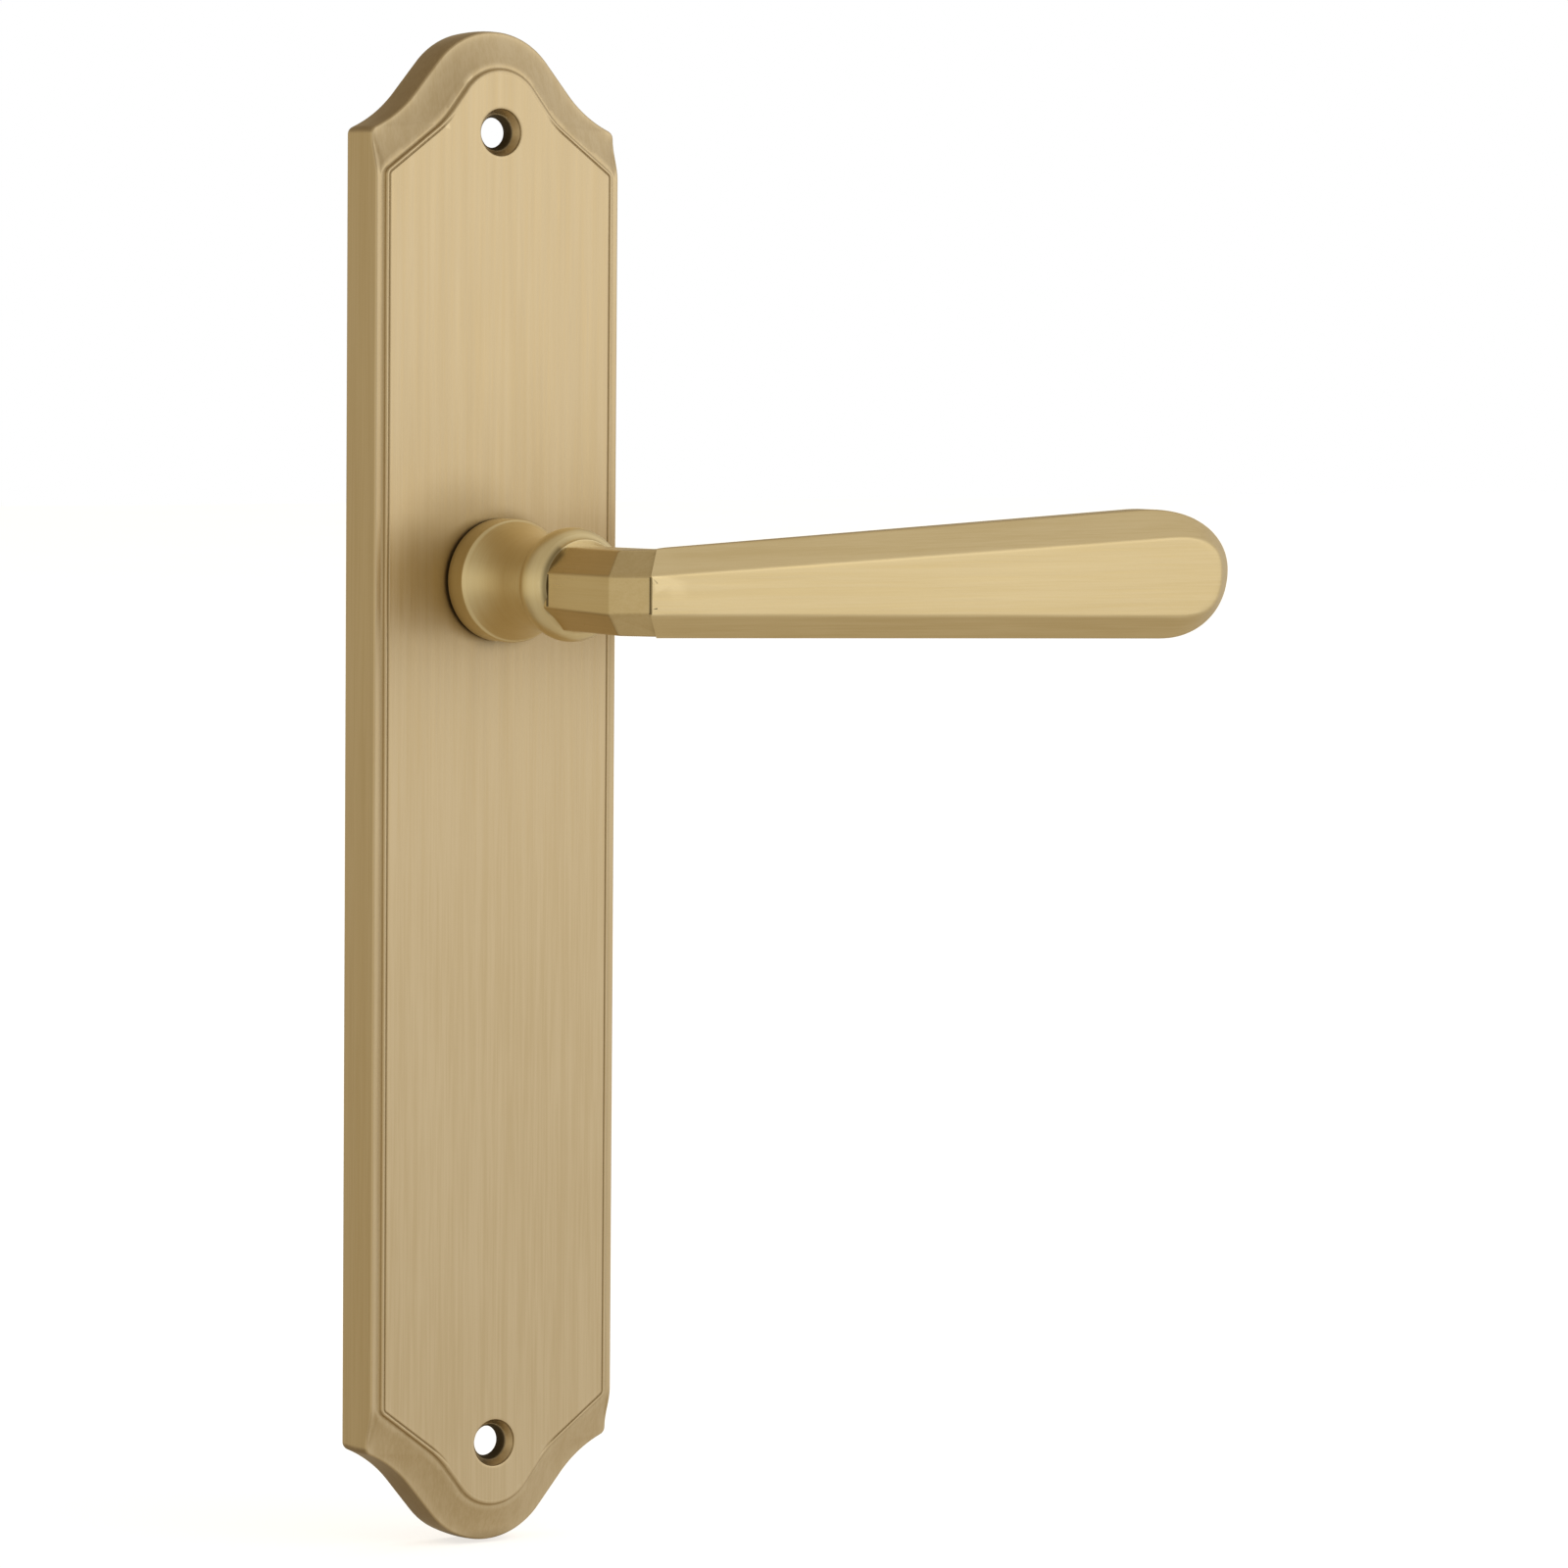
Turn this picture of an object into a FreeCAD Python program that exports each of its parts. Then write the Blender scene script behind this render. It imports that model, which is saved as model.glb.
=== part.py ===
import FreeCAD, Part
import math
import os
import Sketcher
from FreeCAD import Rotation, Vector

# Lever handle on a long backplate, one side of a door, with its sprung cassette.
# Origin: spindle axis on the door face. +X along the grip, +Y into the door, +Z up.
# Everything in front of the door face has a negative Y.

doc = FreeCAD.newDocument("LeverHandle")
sheet = doc.addObject("Spreadsheet::Sheet", "Sizes")

driving = {
    # backplate
    "plateHalfWidth": 22.5, "plateHalfLength": 120.0, "plateMiddle": -33.5,
    "plateFace": 9.86, "plateWall": 3.36, "sideEdge": 9.15, "shoulderEdge": 7.6, "archEdge": 7.4,
    "edgeBreak": 0.35, "beadDrop": 0.46, "fixingSpacing": 208.0, "fixingRadius": 2.6,
    "sinkRadius": 3.7, "sinkRim": 0.3, "sinkDepth": 1.5, "cavityInset": 1.5,
    # cassette seat in the back of the plate
    "seatRadius": 17.5, "seatFloor": 7.7, "bossSpacing": 43.0, "bossRadius": 3.4, "boreRadius": 8.5,
    # bush and lever neck
    "bushFlange": 0.44, "bushFlangeRadius": 9.4, "bushBore": 7.05, "shankRadius": 7.0, "shankEnd": 0.2,
    "neckBase": 10.35, "baseRadius": 9.74, "baseBand": 4.6, "rimRadius": 9.4, "waistRadius": 7.4,
    "waistFront": 23.0, "ringBack": 29.1, "ringFront": 34.2, "ringRadius": 8.92, "ringFoot": 7.95,
    "neckFront": 35.5, "neckEnd": 7.15, "flatDepth": 0.8, "flatFront": 6.85,
    "tenonRadius": 4.9, "tenonBack": 26.0, "socketFront": 24.0,
    # lever
    "neckHalf": 6.9, "pocketFloor": 33.6, "collarBevel": 3.8, "elbowBevel": 2.4, "shrink": 0.975,
    "elbowStart": 53.5, "elbowCut": 4.67, "gripDepth": 10.4, "gripBevel": 2.9,
    "elbowRelief": 0.3, "gripReach": 109.7, "gripFaceReach": 106.4,
    # spindle and its grub screw
    "spindleSize": 8.0, "spindleOut": 28.0, "spindleFront": 23.5, "grubPlace": 12.4, "grubRadius": 2.0,
    "grubLength": 5.3, "grubSocket": 1.25,
    # cassette
    "cupWall": 0.8, "cupRim": 2.3, "hubFlange": 1.2, "hubFlangeRadius": 12.4, "hubSleeve": 9.2,
    "hubBack": 2.4, "thrustThick": 0.4, "coverThick": 0.8, "coverHole": 7.3, "shimThick": 0.3,
    "clipBack": 0.4, "clipThick": 0.7, "grooveRadius": 6.4, "runGap": 0.05,
    "stopRadius": 1.2, "stopCircle": 14.3, "stopTop": 4.4, "lugReach": 15.8, "lugHalfAngle": 12.0,
    "leverTravel": 45.0, "screwRadius": 1.45, "screwHead": 2.7, "screwHeadHeight": 1.3,
    "screwLength": 4.6, "springCoil": 10.6, "springWire": 0.9, "springPitch": 0.95, "springTurns": 1.75,
    "tangHalf": 0.8, "tangReach": 14.8,
}
for row, (name, value) in enumerate(driving.items(), start=1):
    sheet.set("A%d" % row, name)
    sheet.set("B%d" % row, str(value))
    sheet.setAlias("B%d" % row, name)
doc.recompute()

toDoor = Rotation(Vector(1, 0, 0), -90)      # turns a part's own Z to +Y, into the door
parts = []


def size(name):
    return float(sheet.get(name))


def bind(thing, **formulas):
    for prop, formula in formulas.items():
        thing.setExpression(prop.replace("_", "."), formula)
    return thing


def finish(thing, label):
    thing.Label = label
    parts.append(thing)
    return thing


def rod(name, radius, front, length):
    """A round bar along Y, from its front end at depth 'front' before the door face."""
    bar = doc.addObject("Part::Cylinder", name)
    bar.Placement.Rotation = toDoor
    return bind(bar, Radius=radius, Height=length, Placement_Base_y="-(%s)" % front)


def block(name, wide, deep, tall, left, front, low):
    box = doc.addObject("Part::Box", name)
    bind(box, Length=wide, Width=deep, Height=tall)
    return bind(box, Placement_Base_x=left, Placement_Base_y="-(%s)" % front, Placement_Base_z=low)


def cut(name, base, tool):
    joined = doc.addObject("Part::Cut", name)
    joined.Base = base
    joined.Tool = tool
    return joined


def fuse(name, *shapes):
    joined = doc.addObject("Part::MultiFuse", name)
    joined.Shapes = list(shapes)
    return joined


def turned(name, profile):
    """A body turned about Y. Each corner is (radius, depth before the door, arc radius or None):
    the arc, if any, runs from that corner to the next, hollow when its radius is negative."""
    body = doc.addObject("PartDesign::Body", name)
    sketch = body.newObject("Sketcher::SketchObject", name + "Profile")
    plane = [f for f in body.Origin.OriginFeatures if f.Role == "XY_Plane"][0]
    sketch.AttachmentSupport = [(plane, "")]
    sketch.MapMode = "FlatFace"
    radial = [corner[0] for corner in profile]
    depth = ["-(%s)" % corner[1] for corner in profile]
    corners = [
        Vector(float(sheet.evalExpression(across)), float(sheet.evalExpression(along)), 0)
        for across, along in zip(radial, depth)
    ]
    count = len(corners)
    for i in range(count):
        start, end, bulge = corners[i], corners[(i + 1) % count], profile[i][2]
        if bulge is None:
            sketch.addGeometry(Part.LineSegment(start, end), False)
            continue
        chord = end - start
        sagitta = abs(bulge) - math.sqrt(bulge ** 2 - chord.Length ** 2 / 4)
        outward = Vector(-chord.y, chord.x, 0).normalize()
        if outward.x < 0:
            outward = -outward
        middle = (start + end) / 2 + outward * math.copysign(sagitta, bulge)
        sketch.addGeometry(Part.Arc(start, middle, end), False)
    starts = []
    ends = []
    for i in range(count):
        forwards = sketch.getPoint(i, 1).distanceToPoint(corners[i]) < 1e-6
        starts.append(1 if forwards else 2)
        ends.append(2 if forwards else 1)
    for i in range(count):
        after = (i + 1) % count
        sketch.addConstraint(Sketcher.Constraint("Coincident", i, ends[i], after, starts[after]))
        placed = (("DistanceX", radial[i], corners[i].x, -2), ("DistanceY", depth[i], corners[i].y, -1))
        for kind, formula, place, axis in placed:
            if abs(place) < 1e-9:
                sketch.addConstraint(Sketcher.Constraint("PointOnObject", i, starts[i], axis))
                continue
            held = sketch.addConstraint(Sketcher.Constraint(kind, -1, 1, i, starts[i], place))
            sketch.setExpression("Constraints[%d]" % held, formula)
        if profile[i][2] is not None:
            sketch.addConstraint(Sketcher.Constraint("Radius", i, abs(profile[i][2])))
    turn = body.newObject("PartDesign::Revolution", name + "Turn")
    turn.Profile = sketch
    turn.ReferenceAxis = (sketch, ["V_Axis"])
    turn.Angle = 360
    body.Tip = turn
    doc.recompute()
    return body


# ---- backplate ------------------------------------------------------------------------------

def endOutline(wide, tall, arch, archAngle, straight, cove, coveAngle, corner, offset=0.0):
    """Key points of one bell-shaped end, right half, apex first, moved outwards by 'offset'."""
    wide, tall, arch, cove = wide + offset, tall + offset, arch + offset, cove - offset
    corner = max(corner + offset, 0.4)
    a, b = math.radians(archAngle), math.radians(coveAngle)
    archEnd = Vector(arch * math.sin(a), 0, tall - arch + arch * math.cos(a))
    coveStart = archEnd + Vector(math.cos(a), 0, -math.sin(a)) * straight
    centre = coveStart + Vector(math.sin(a), 0, math.cos(a)) * cove
    coveEnd = centre - Vector(math.sin(b), 0, math.cos(b)) * cove
    coveMiddle = centre - Vector(math.sin((a + b) / 2), 0, math.cos((a + b) / 2)) * cove
    down = Vector(math.cos(b), 0, -math.sin(b))
    tip = coveEnd + down * ((wide - coveEnd.x) / down.x)
    tangent = corner * math.tan((math.pi / 2 - b) / 2)
    cornerStart = tip - down * tangent
    cornerEnd = tip - Vector(0, 0, tangent)
    inward = Vector(-1, 0, 0) * corner
    half = (math.pi / 2 - b) / 2
    cornerMiddle = cornerEnd + inward + Vector(math.cos(half), 0, math.sin(half)) * corner
    return {
        "apex": Vector(0, 0, tall), "archEnd": archEnd, "coveStart": coveStart, "coveMiddle": coveMiddle,
        "coveEnd": coveEnd, "cornerStart": cornerStart, "cornerMiddle": cornerMiddle, "cornerEnd": cornerEnd,
    }


plateEnd = {"arch": 13.1, "archAngle": 50, "straight": 6.6, "cove": 20.0, "coveAngle": 25, "corner": 1.5}
panelEnd = {"arch": 7.2, "archAngle": 52, "straight": 4.6, "cove": 16.0, "coveAngle": 36.5, "corner": 0.9}
panelInset = {"side": 2.1, "end": 6.55}
shoulderRun = 96.0              # height above the plate's middle where the side edge starts to drop
borderRise = 2.5                # how the border curves up from its edge to the panel's bead
beadFoot = 1.15                 # how far outside the panel's edge its raised rim starts
beadShoulder = {"out": 0.4, "drop": 0.14}


def plateEdge(offset):
    return endOutline(size("plateHalfWidth"), size("plateHalfLength"), offset=offset, **plateEnd)


def panelEdge(offset):
    wide = size("plateHalfWidth") - panelInset["side"]
    tall = size("plateHalfLength") - panelInset["end"]
    return endOutline(wide, tall, offset=offset, **panelEnd)


def swept(points, depths):
    """A smooth edge through points, each pushed out from the door by its own depth."""
    lifted = [Vector(p.x, -d, p.z) for p, d in zip(points, depths)]
    curve = Part.BSplineCurve()
    curve.interpolate(lifted)
    return curve.toShape()


def blend(start, end, count):
    return [start + (end - start) * i / (count - 1) for i in range(count)]


def arcPoints(start, middle, end, count=7):
    return Part.Arc(start, middle, end).discretize(count)


def outlineWire(end, side, shoulder, arch):
    """The whole outline at three depths: long sides, shoulders and arched ends, eased into each other."""
    foot = Vector(end["cornerEnd"].x, 0, shoulderRun)
    count = 7
    right = [
        swept(blend(foot, end["cornerEnd"], count), blend(side, shoulder, count)),
        swept(arcPoints(end["cornerEnd"], end["cornerMiddle"], end["cornerStart"]), [shoulder] * count),
        swept([end["cornerStart"], end["coveEnd"]], [shoulder] * 2),
        swept(arcPoints(end["coveEnd"], end["coveMiddle"], end["coveStart"]), blend(shoulder, arch, count)),
        swept([end["coveStart"], end["archEnd"]], [arch] * 2),
    ]
    mirror = FreeCAD.Matrix()
    mirror.scale(-1, 1, 1)
    leftArch = Vector(-end["archEnd"].x, 0, end["archEnd"].z)
    top = right + [swept(arcPoints(end["archEnd"], end["apex"], leftArch, 13), [arch] * 13)]
    top += [edge.transformGeometry(mirror) for edge in reversed(right)]
    turn = FreeCAD.Matrix()
    turn.scale(-1, 1, -1)
    bottom = [edge.transformGeometry(turn) for edge in top]
    leftFoot = Vector(-foot.x, 0, foot.z)
    edges = top + [swept([leftFoot, -foot], [side] * 2)] + bottom + [swept([-leftFoot, foot], [side] * 2)]
    wire = Part.Wire(edges)
    wire.translate(Vector(0, 0, size("plateMiddle")))
    return wire


def borderWire(share, side, shoulder, arch, bead):
    """The border between the soft outer edge (share 0) and the bead's foot (share 1), a hollow curve."""
    outer, inner = plateEdge(-size("edgeBreak")), panelEdge(beadFoot)
    between = {key: outer[key] + (inner[key] - outer[key]) * share for key in outer}
    lift = share ** borderRise
    return outlineWire(between, *[low + (bead - low) * lift for low in (side, shoulder, arch)])


def makeBackplate():
    face = size("plateFace")
    side, shoulder, arch = size("sideEdge"), size("shoulderEdge"), size("archEdge")
    edge = size("edgeBreak")
    bead = face - size("beadDrop")
    wires = [
        outlineWire(plateEdge(-edge), 0, 0, 0),
        outlineWire(plateEdge(0), 2 * edge, 2 * edge, 2 * edge),
        outlineWire(plateEdge(0), side - edge, shoulder - edge, arch - edge),
        outlineWire(plateEdge(-edge), side, shoulder, arch),
        *[borderWire(share, side, shoulder, arch, bead) for share in (0.3, 0.6, 0.8, 1.0)],
        outlineWire(panelEdge(beadShoulder["out"]), *[face - beadShoulder["drop"]] * 3),
        outlineWire(panelEdge(0), face, face, face),
    ]
    outside = Part.makeLoft(wires, True, True)
    inset = -size("cavityInset")
    reach = face - size("plateWall")
    hollow = Part.Face(outlineWire(panelEdge(inset), 0, 0, 0)).extrude(Vector(0, -reach, 0))
    casting = doc.addObject("Part::Feature", "PlateCasting")
    casting.Shape = outside.cut(hollow)
    bosses = []
    for sign, word in ((1, "Upper"), (-1, "Lower")):
        boss = rod("Boss" + word, "Sizes.bossRadius", "Sizes.plateFace - 1",
                   "Sizes.plateFace - 1 - Sizes.cupRim")
        bosses.append(bind(boss, Placement_Base_z="%d * Sizes.bossSpacing / 2" % sign))
    solid = fuse("PlateSolid", casting, *bosses)
    tools = [
        rod("ShankHole", "Sizes.boreRadius", "Sizes.plateFace + 1", "Sizes.plateFace + 1"),
        rod("CassetteSeat", "Sizes.seatRadius + 0.05", "Sizes.seatFloor", "Sizes.seatFloor"),
    ]
    for sign, word in ((1, "Upper"), (-1, "Lower")):
        tapped = rod("Tapped" + word, "Sizes.screwRadius", "Sizes.cupRim + Sizes.screwLength + 0.4",
                     "Sizes.screwLength + 0.4")
        tools.append(bind(tapped, Placement_Base_z="%d * Sizes.bossSpacing / 2" % sign))
        middle = "Sizes.plateMiddle + %d * Sizes.fixingSpacing / 2" % sign
        hole = rod("Fixing" + word, "Sizes.fixingRadius", "Sizes.plateFace + 1", "Sizes.plateFace + 1")
        tools.append(bind(hole, Placement_Base_z=middle))
        sink = doc.addObject("Part::Cone", "Sink" + word)
        sink.Placement.Rotation = toDoor
        bind(sink, Radius1="Sizes.sinkRadius", Radius2="Sizes.fixingRadius", Height="Sizes.sinkDepth")
        bind(sink, Placement_Base_y="-(Sizes.plateFace - Sizes.sinkRim)", Placement_Base_z=middle)
        rim = rod("Rim" + word, "Sizes.sinkRadius", "Sizes.plateFace + 1", "Sizes.sinkRim + 1")
        tools += [sink, bind(rim, Placement_Base_z=middle)]
    return finish(cut("Backplate", solid, fuse("PlateTools", *tools)), "backplate")


# ---- lever ----------------------------------------------------------------------------------

def makeNeck():
    flat = None
    halfWidth = (size("ringFront") - size("ringBack")) / 2
    crown = size("ringRadius") - size("ringFoot")
    ringArc = (halfWidth ** 2 + crown ** 2) / (2 * crown)
    profile = [
        ("0", "Sizes.shankEnd", flat),
        ("Sizes.shankRadius - 0.3", "Sizes.shankEnd", flat),
        ("Sizes.shankRadius", "Sizes.shankEnd + 0.15", flat),
        ("Sizes.shankRadius", "Sizes.clipBack - Sizes.runGap", flat),
        ("Sizes.grooveRadius", "Sizes.clipBack - Sizes.runGap", flat),
        ("Sizes.grooveRadius", "Sizes.clipBack + Sizes.clipThick + Sizes.runGap", flat),
        ("Sizes.shankRadius", "Sizes.clipBack + Sizes.clipThick + Sizes.runGap", flat),
        ("Sizes.shankRadius", "Sizes.neckBase", flat),
        ("Sizes.baseRadius - 0.25", "Sizes.neckBase", flat),
        ("Sizes.baseRadius", "Sizes.neckBase + 0.25", flat),
        ("Sizes.baseRadius", "Sizes.neckBase + Sizes.baseBand - 0.3", flat),
        ("Sizes.rimRadius", "Sizes.neckBase + Sizes.baseBand", -19.0),
        ("Sizes.waistRadius", "Sizes.waistFront", flat),
        ("Sizes.waistRadius", "Sizes.ringBack - 0.7", -0.9),
        ("Sizes.ringFoot", "Sizes.ringBack", ringArc),
        ("Sizes.ringFoot", "Sizes.ringFront", -1.9),
        ("Sizes.neckEnd", "Sizes.neckFront", flat),
        ("Sizes.tenonRadius", "Sizes.neckFront", flat),
        ("Sizes.tenonRadius", "Sizes.tenonBack", flat),
        ("0", "Sizes.tenonBack", flat),
    ]
    blank = turned("NeckBlank", profile)
    socket = block("SpindleSocket", "Sizes.spindleSize + 0.1", "Sizes.socketFront", "Sizes.spindleSize + 0.1",
                   "-Sizes.spindleSize / 2 - 0.05", "Sizes.socketFront", "-Sizes.spindleSize / 2 - 0.05")
    flats = []
    for side, place in (("Right", "Sizes.shankRadius - Sizes.flatDepth"), ("Left", "-Sizes.shankRadius - 1")):
        flats.append(block("ShankFlat" + side, "Sizes.flatDepth + 1", "Sizes.flatFront", "20 mm",
                           place, "Sizes.flatFront", "-10 mm"))
    tapped = doc.addObject("Part::Cylinder", "GrubHole")
    bind(tapped, Radius="Sizes.grubRadius", Height="Sizes.baseRadius")
    bind(tapped, Placement_Base_y="-Sizes.grubPlace", Placement_Base_z="-Sizes.baseRadius - 1")
    pocket = doc.addObject("Part::Feature", "LeverPocket")
    pocket.Shape = makeShank()
    return finish(cut("Neck", blank, fuse("NeckTools", socket, tapped, pocket, *flats)), "lever_neck")


def octagon(place, deep, bevel, low, faceLow, faceHigh, high):
    """Closed eight-sided section: 'place' maps (depth behind the outer face, height) to a point."""
    corners = [(0, faceLow), (0, faceHigh), (bevel, high), (deep - bevel, high), (deep, faceHigh),
               (deep, faceLow), (deep - bevel, low), (bevel, low)]
    return Part.makePolygon([place(d, height) for d, height in corners + corners[:1]])


def bezier(*poles):
    curve = Part.BezierCurve()
    curve.setPoles(list(poles))
    return curve.toShape()


# heights of the eight-sided section: bottom, outer face low and high, top
atCollar = {"low": -7.0, "faceLow": -3.4, "faceHigh": 2.05, "high": 6.0}
atElbow = {"low": -7.1, "faceLow": -3.85, "faceHigh": 2.05, "high": 6.05}
atGrip = {"low": -7.4, "faceLow": -3.8, "faceHigh": 2.2, "high": 6.35}

# grip outline beyond its straight run: where the straight edges end, and the handles of the tip's curves
outlineTip = {"topEnd": (92.0, 11.5), "topPull": 11.5, "lowEnd": (96.5, -9.15), "lowPull": 7.8,
              "tipHeight": 1.7, "riseUp": 5.5, "riseDown": 6.3}
faceTip = {"topEnd": (97.0, 7.1), "topPull": 6.5, "lowEnd": (97.5, -5.6), "lowPull": 7.1,
           "tipHeight": 1.8, "riseUp": 3.8, "riseDown": 5.2}


def gripWire(depth, start, low, high, tip, reach):
    """Outline of the grip on a plane parallel to the door: a tapered bar with a round end."""
    y = -depth
    lowStart, highStart = Vector(start, y, low), Vector(start, y, high)
    topEnd = Vector(tip["topEnd"][0], y, tip["topEnd"][1])
    lowEnd = Vector(tip["lowEnd"][0], y, tip["lowEnd"][1])
    nose = Vector(reach, y, tip["tipHeight"])
    along = (topEnd - highStart).normalize()
    back = (lowEnd - lowStart).normalize()
    lower = bezier(lowEnd, lowEnd + back * tip["lowPull"], nose - Vector(0, 0, tip["riseDown"]), nose)
    upper = bezier(nose, nose + Vector(0, 0, tip["riseUp"]), topEnd + along * tip["topPull"], topEnd)
    return Part.Wire([
        Part.makeLine(highStart, lowStart), Part.makeLine(lowStart, lowEnd), lower, upper,
        Part.makeLine(topEnd, highStart),
    ])


def shankSections():
    """The eight-sided bar from its seat in the neck to the elbow: its first two sections."""
    half, mitre = size("neckHalf"), math.tan(math.radians(22.5))
    seat, bend = size("pocketFloor"), size("elbowStart")
    return [
        octagon(lambda d, z: Vector(d - half, -seat, z), 2 * half, size("collarBevel"), **atCollar),
        octagon(lambda d, z: Vector(d - half, d * mitre - bend, z), 2 * half, size("elbowBevel"), **atElbow),
    ]


def makeShank():
    return Part.makeLoft(shankSections(), True, True)


def makeLever():
    half, depth, bevel = size("neckHalf"), size("gripDepth"), size("gripBevel")
    bend, cutLength, relief = size("elbowStart"), size("elbowCut"), size("elbowRelief")
    front = bend + cutLength + relief
    start = cutLength - half
    low, high = atGrip["low"], atGrip["high"]
    faceLow, faceHigh = atGrip["faceLow"], atGrip["faceHigh"]
    reach, faceReach = size("gripReach"), size("gripFaceReach")
    gripStart = start - relief               # the grip's faces stand a little proud of the elbow's
    grip = Part.makeLoft([
        gripWire(front, gripStart, faceLow, faceHigh, faceTip, faceReach),
        gripWire(front - bevel, gripStart + bevel, low, high, outlineTip, reach),
        gripWire(front - depth + bevel, gripStart + depth - bevel, low, high, outlineTip, reach),
        gripWire(front - depth, gripStart + depth, faceLow, faceHigh, faceTip, faceReach),
    ], True, True)
    shrunk = {key: height * size("shrink") for key, height in atGrip.items()}
    bend += cutLength
    bar = Part.makeLoft(shankSections() + [
        octagon(lambda d, z: Vector(start + d, d - bend, z), depth - relief, bevel, **shrunk),
    ], True, True)
    seat = size("pocketFloor")
    tenon = Part.makeCylinder(size("tenonRadius") - 0.02, seat - size("tenonBack"),
                              Vector(0, -seat, 0), Vector(0, 1, 0))
    lever = doc.addObject("Part::Feature", "Lever")
    lever.Shape = bar.fuse([grip, tenon]).removeSplitter()
    return finish(lever, "lever_grip")


# ---- spindle and grub screw -----------------------------------------------------------------

def makeSpindle():
    reach = "Sizes.spindleOut + Sizes.spindleFront"
    spindle = block("Spindle", "Sizes.spindleSize", reach, "Sizes.spindleSize", "-Sizes.spindleSize / 2",
                    "Sizes.spindleFront", "-Sizes.spindleSize / 2")
    broken = doc.addObject("Part::Chamfer", "SpindleEdges")
    doc.recompute()
    broken.Base = spindle
    broken.Edges = [(i + 1, 0.4, 0.4) for i in range(len(spindle.Shape.Edges))]
    return finish(broken, "spindle")


def makeGrubScrew():
    body = doc.addObject("Part::Cylinder", "GrubBody")
    socket = doc.addObject("Part::Prism", "GrubSocket")
    point = doc.addObject("Part::Cone", "GrubCup")
    low = "-Sizes.spindleSize / 2 - 0.02 - Sizes.grubLength"
    bind(body, Radius="Sizes.grubRadius", Height="Sizes.grubLength", Placement_Base_z=low)
    bind(socket, Circumradius="Sizes.grubSocket", Height="2 mm", Placement_Base_z=low)
    bind(point, Radius1="0.1 mm", Radius2="1.1 mm", Height="0.7 mm",
         Placement_Base_z="-Sizes.spindleSize / 2 - 0.72")
    for piece in (body, socket, point):
        bind(piece, Placement_Base_y="-Sizes.grubPlace")
    return finish(cut("GrubScrew", body, fuse("GrubTools", socket, point)), "grub_screw")


# ---- bush and cassette ----------------------------------------------------------------------

def makeBush():
    profile = [
        ("Sizes.bushBore", "Sizes.seatFloor", None),
        ("Sizes.boreRadius", "Sizes.seatFloor", None),
        ("Sizes.boreRadius", "Sizes.plateFace", None),
        ("Sizes.bushFlangeRadius", "Sizes.plateFace", None),
        ("Sizes.bushFlangeRadius", "Sizes.plateFace + Sizes.bushFlange", None),
        ("Sizes.bushBore", "Sizes.plateFace + Sizes.bushFlange", None),
    ]
    return finish(turned("Bush", profile), "bearing_bush")


def makeCup():
    floor = "Sizes.seatFloor - Sizes.cupWall"
    profile = [
        ("Sizes.boreRadius", "Sizes.seatFloor", None),
        ("Sizes.seatRadius - 0.8", "Sizes.seatFloor", 0.9),
        ("Sizes.seatRadius", "Sizes.seatFloor - 0.8", None),
        ("Sizes.seatRadius", "Sizes.cupRim", None),
        ("Sizes.seatRadius - Sizes.cupWall", "Sizes.cupRim", None),
        ("Sizes.seatRadius - Sizes.cupWall", floor, None),
        ("Sizes.boreRadius", floor, None),
    ]
    cup = turned("CupBlank", profile)
    slot = block("LegSlot", "3 mm", "Sizes.springWire + 0.5", "Sizes.springWire + 0.1",
                 "-Sizes.seatRadius - 1", "Sizes.cupRim + Sizes.springWire + 0.5",
                 "Sizes.tangHalf - 0.03")
    seats = []
    for word, angle in stopAngles().items():
        seats.append(stopRod("StopSeat" + word, angle, "Sizes.seatFloor", "Sizes.cupWall"))
    return finish(cut("Cup", cup, fuse("CupTools", slot, *seats)), "spring_housing")


def stopAngles():
    """Angles of the two stop pins round the cassette, from +X towards +Z. The hub's lug rests
    against one at rest and against the other at full travel."""
    reach = math.degrees(math.asin((size("stopRadius") + size("runGap")) / size("stopCircle")))
    lug = size("lugHalfAngle") + reach
    return {"Rest": 90 + lug, "Travel": 90 - size("leverTravel") - lug - 1.0}


def stopRod(name, angle, front, length):
    pin = rod(name, "Sizes.stopRadius", front, length)
    across, up = math.cos(math.radians(angle)), math.sin(math.radians(angle))
    return bind(pin, Placement_Base_x="Sizes.stopCircle * %.6f" % across,
                Placement_Base_z="Sizes.stopCircle * %.6f" % up)


def makeStops():
    pins = [
        stopRod("StopPin" + word, angle, "Sizes.seatFloor", "Sizes.seatFloor - Sizes.stopTop")
        for word, angle in stopAngles().items()
    ]
    return finish(fuse("StopPins", *pins), "stop_pins")


def makeThrustWasher():
    front = "Sizes.seatFloor - Sizes.cupWall"
    ring = rod("ThrustDisc", "Sizes.boreRadius + 3", front, "Sizes.thrustThick")
    hole = rod("ThrustHole", "Sizes.shankRadius + 0.1", front, "Sizes.thrustThick")
    return finish(cut("ThrustWasher", ring, hole), "thrust_washer")


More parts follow.
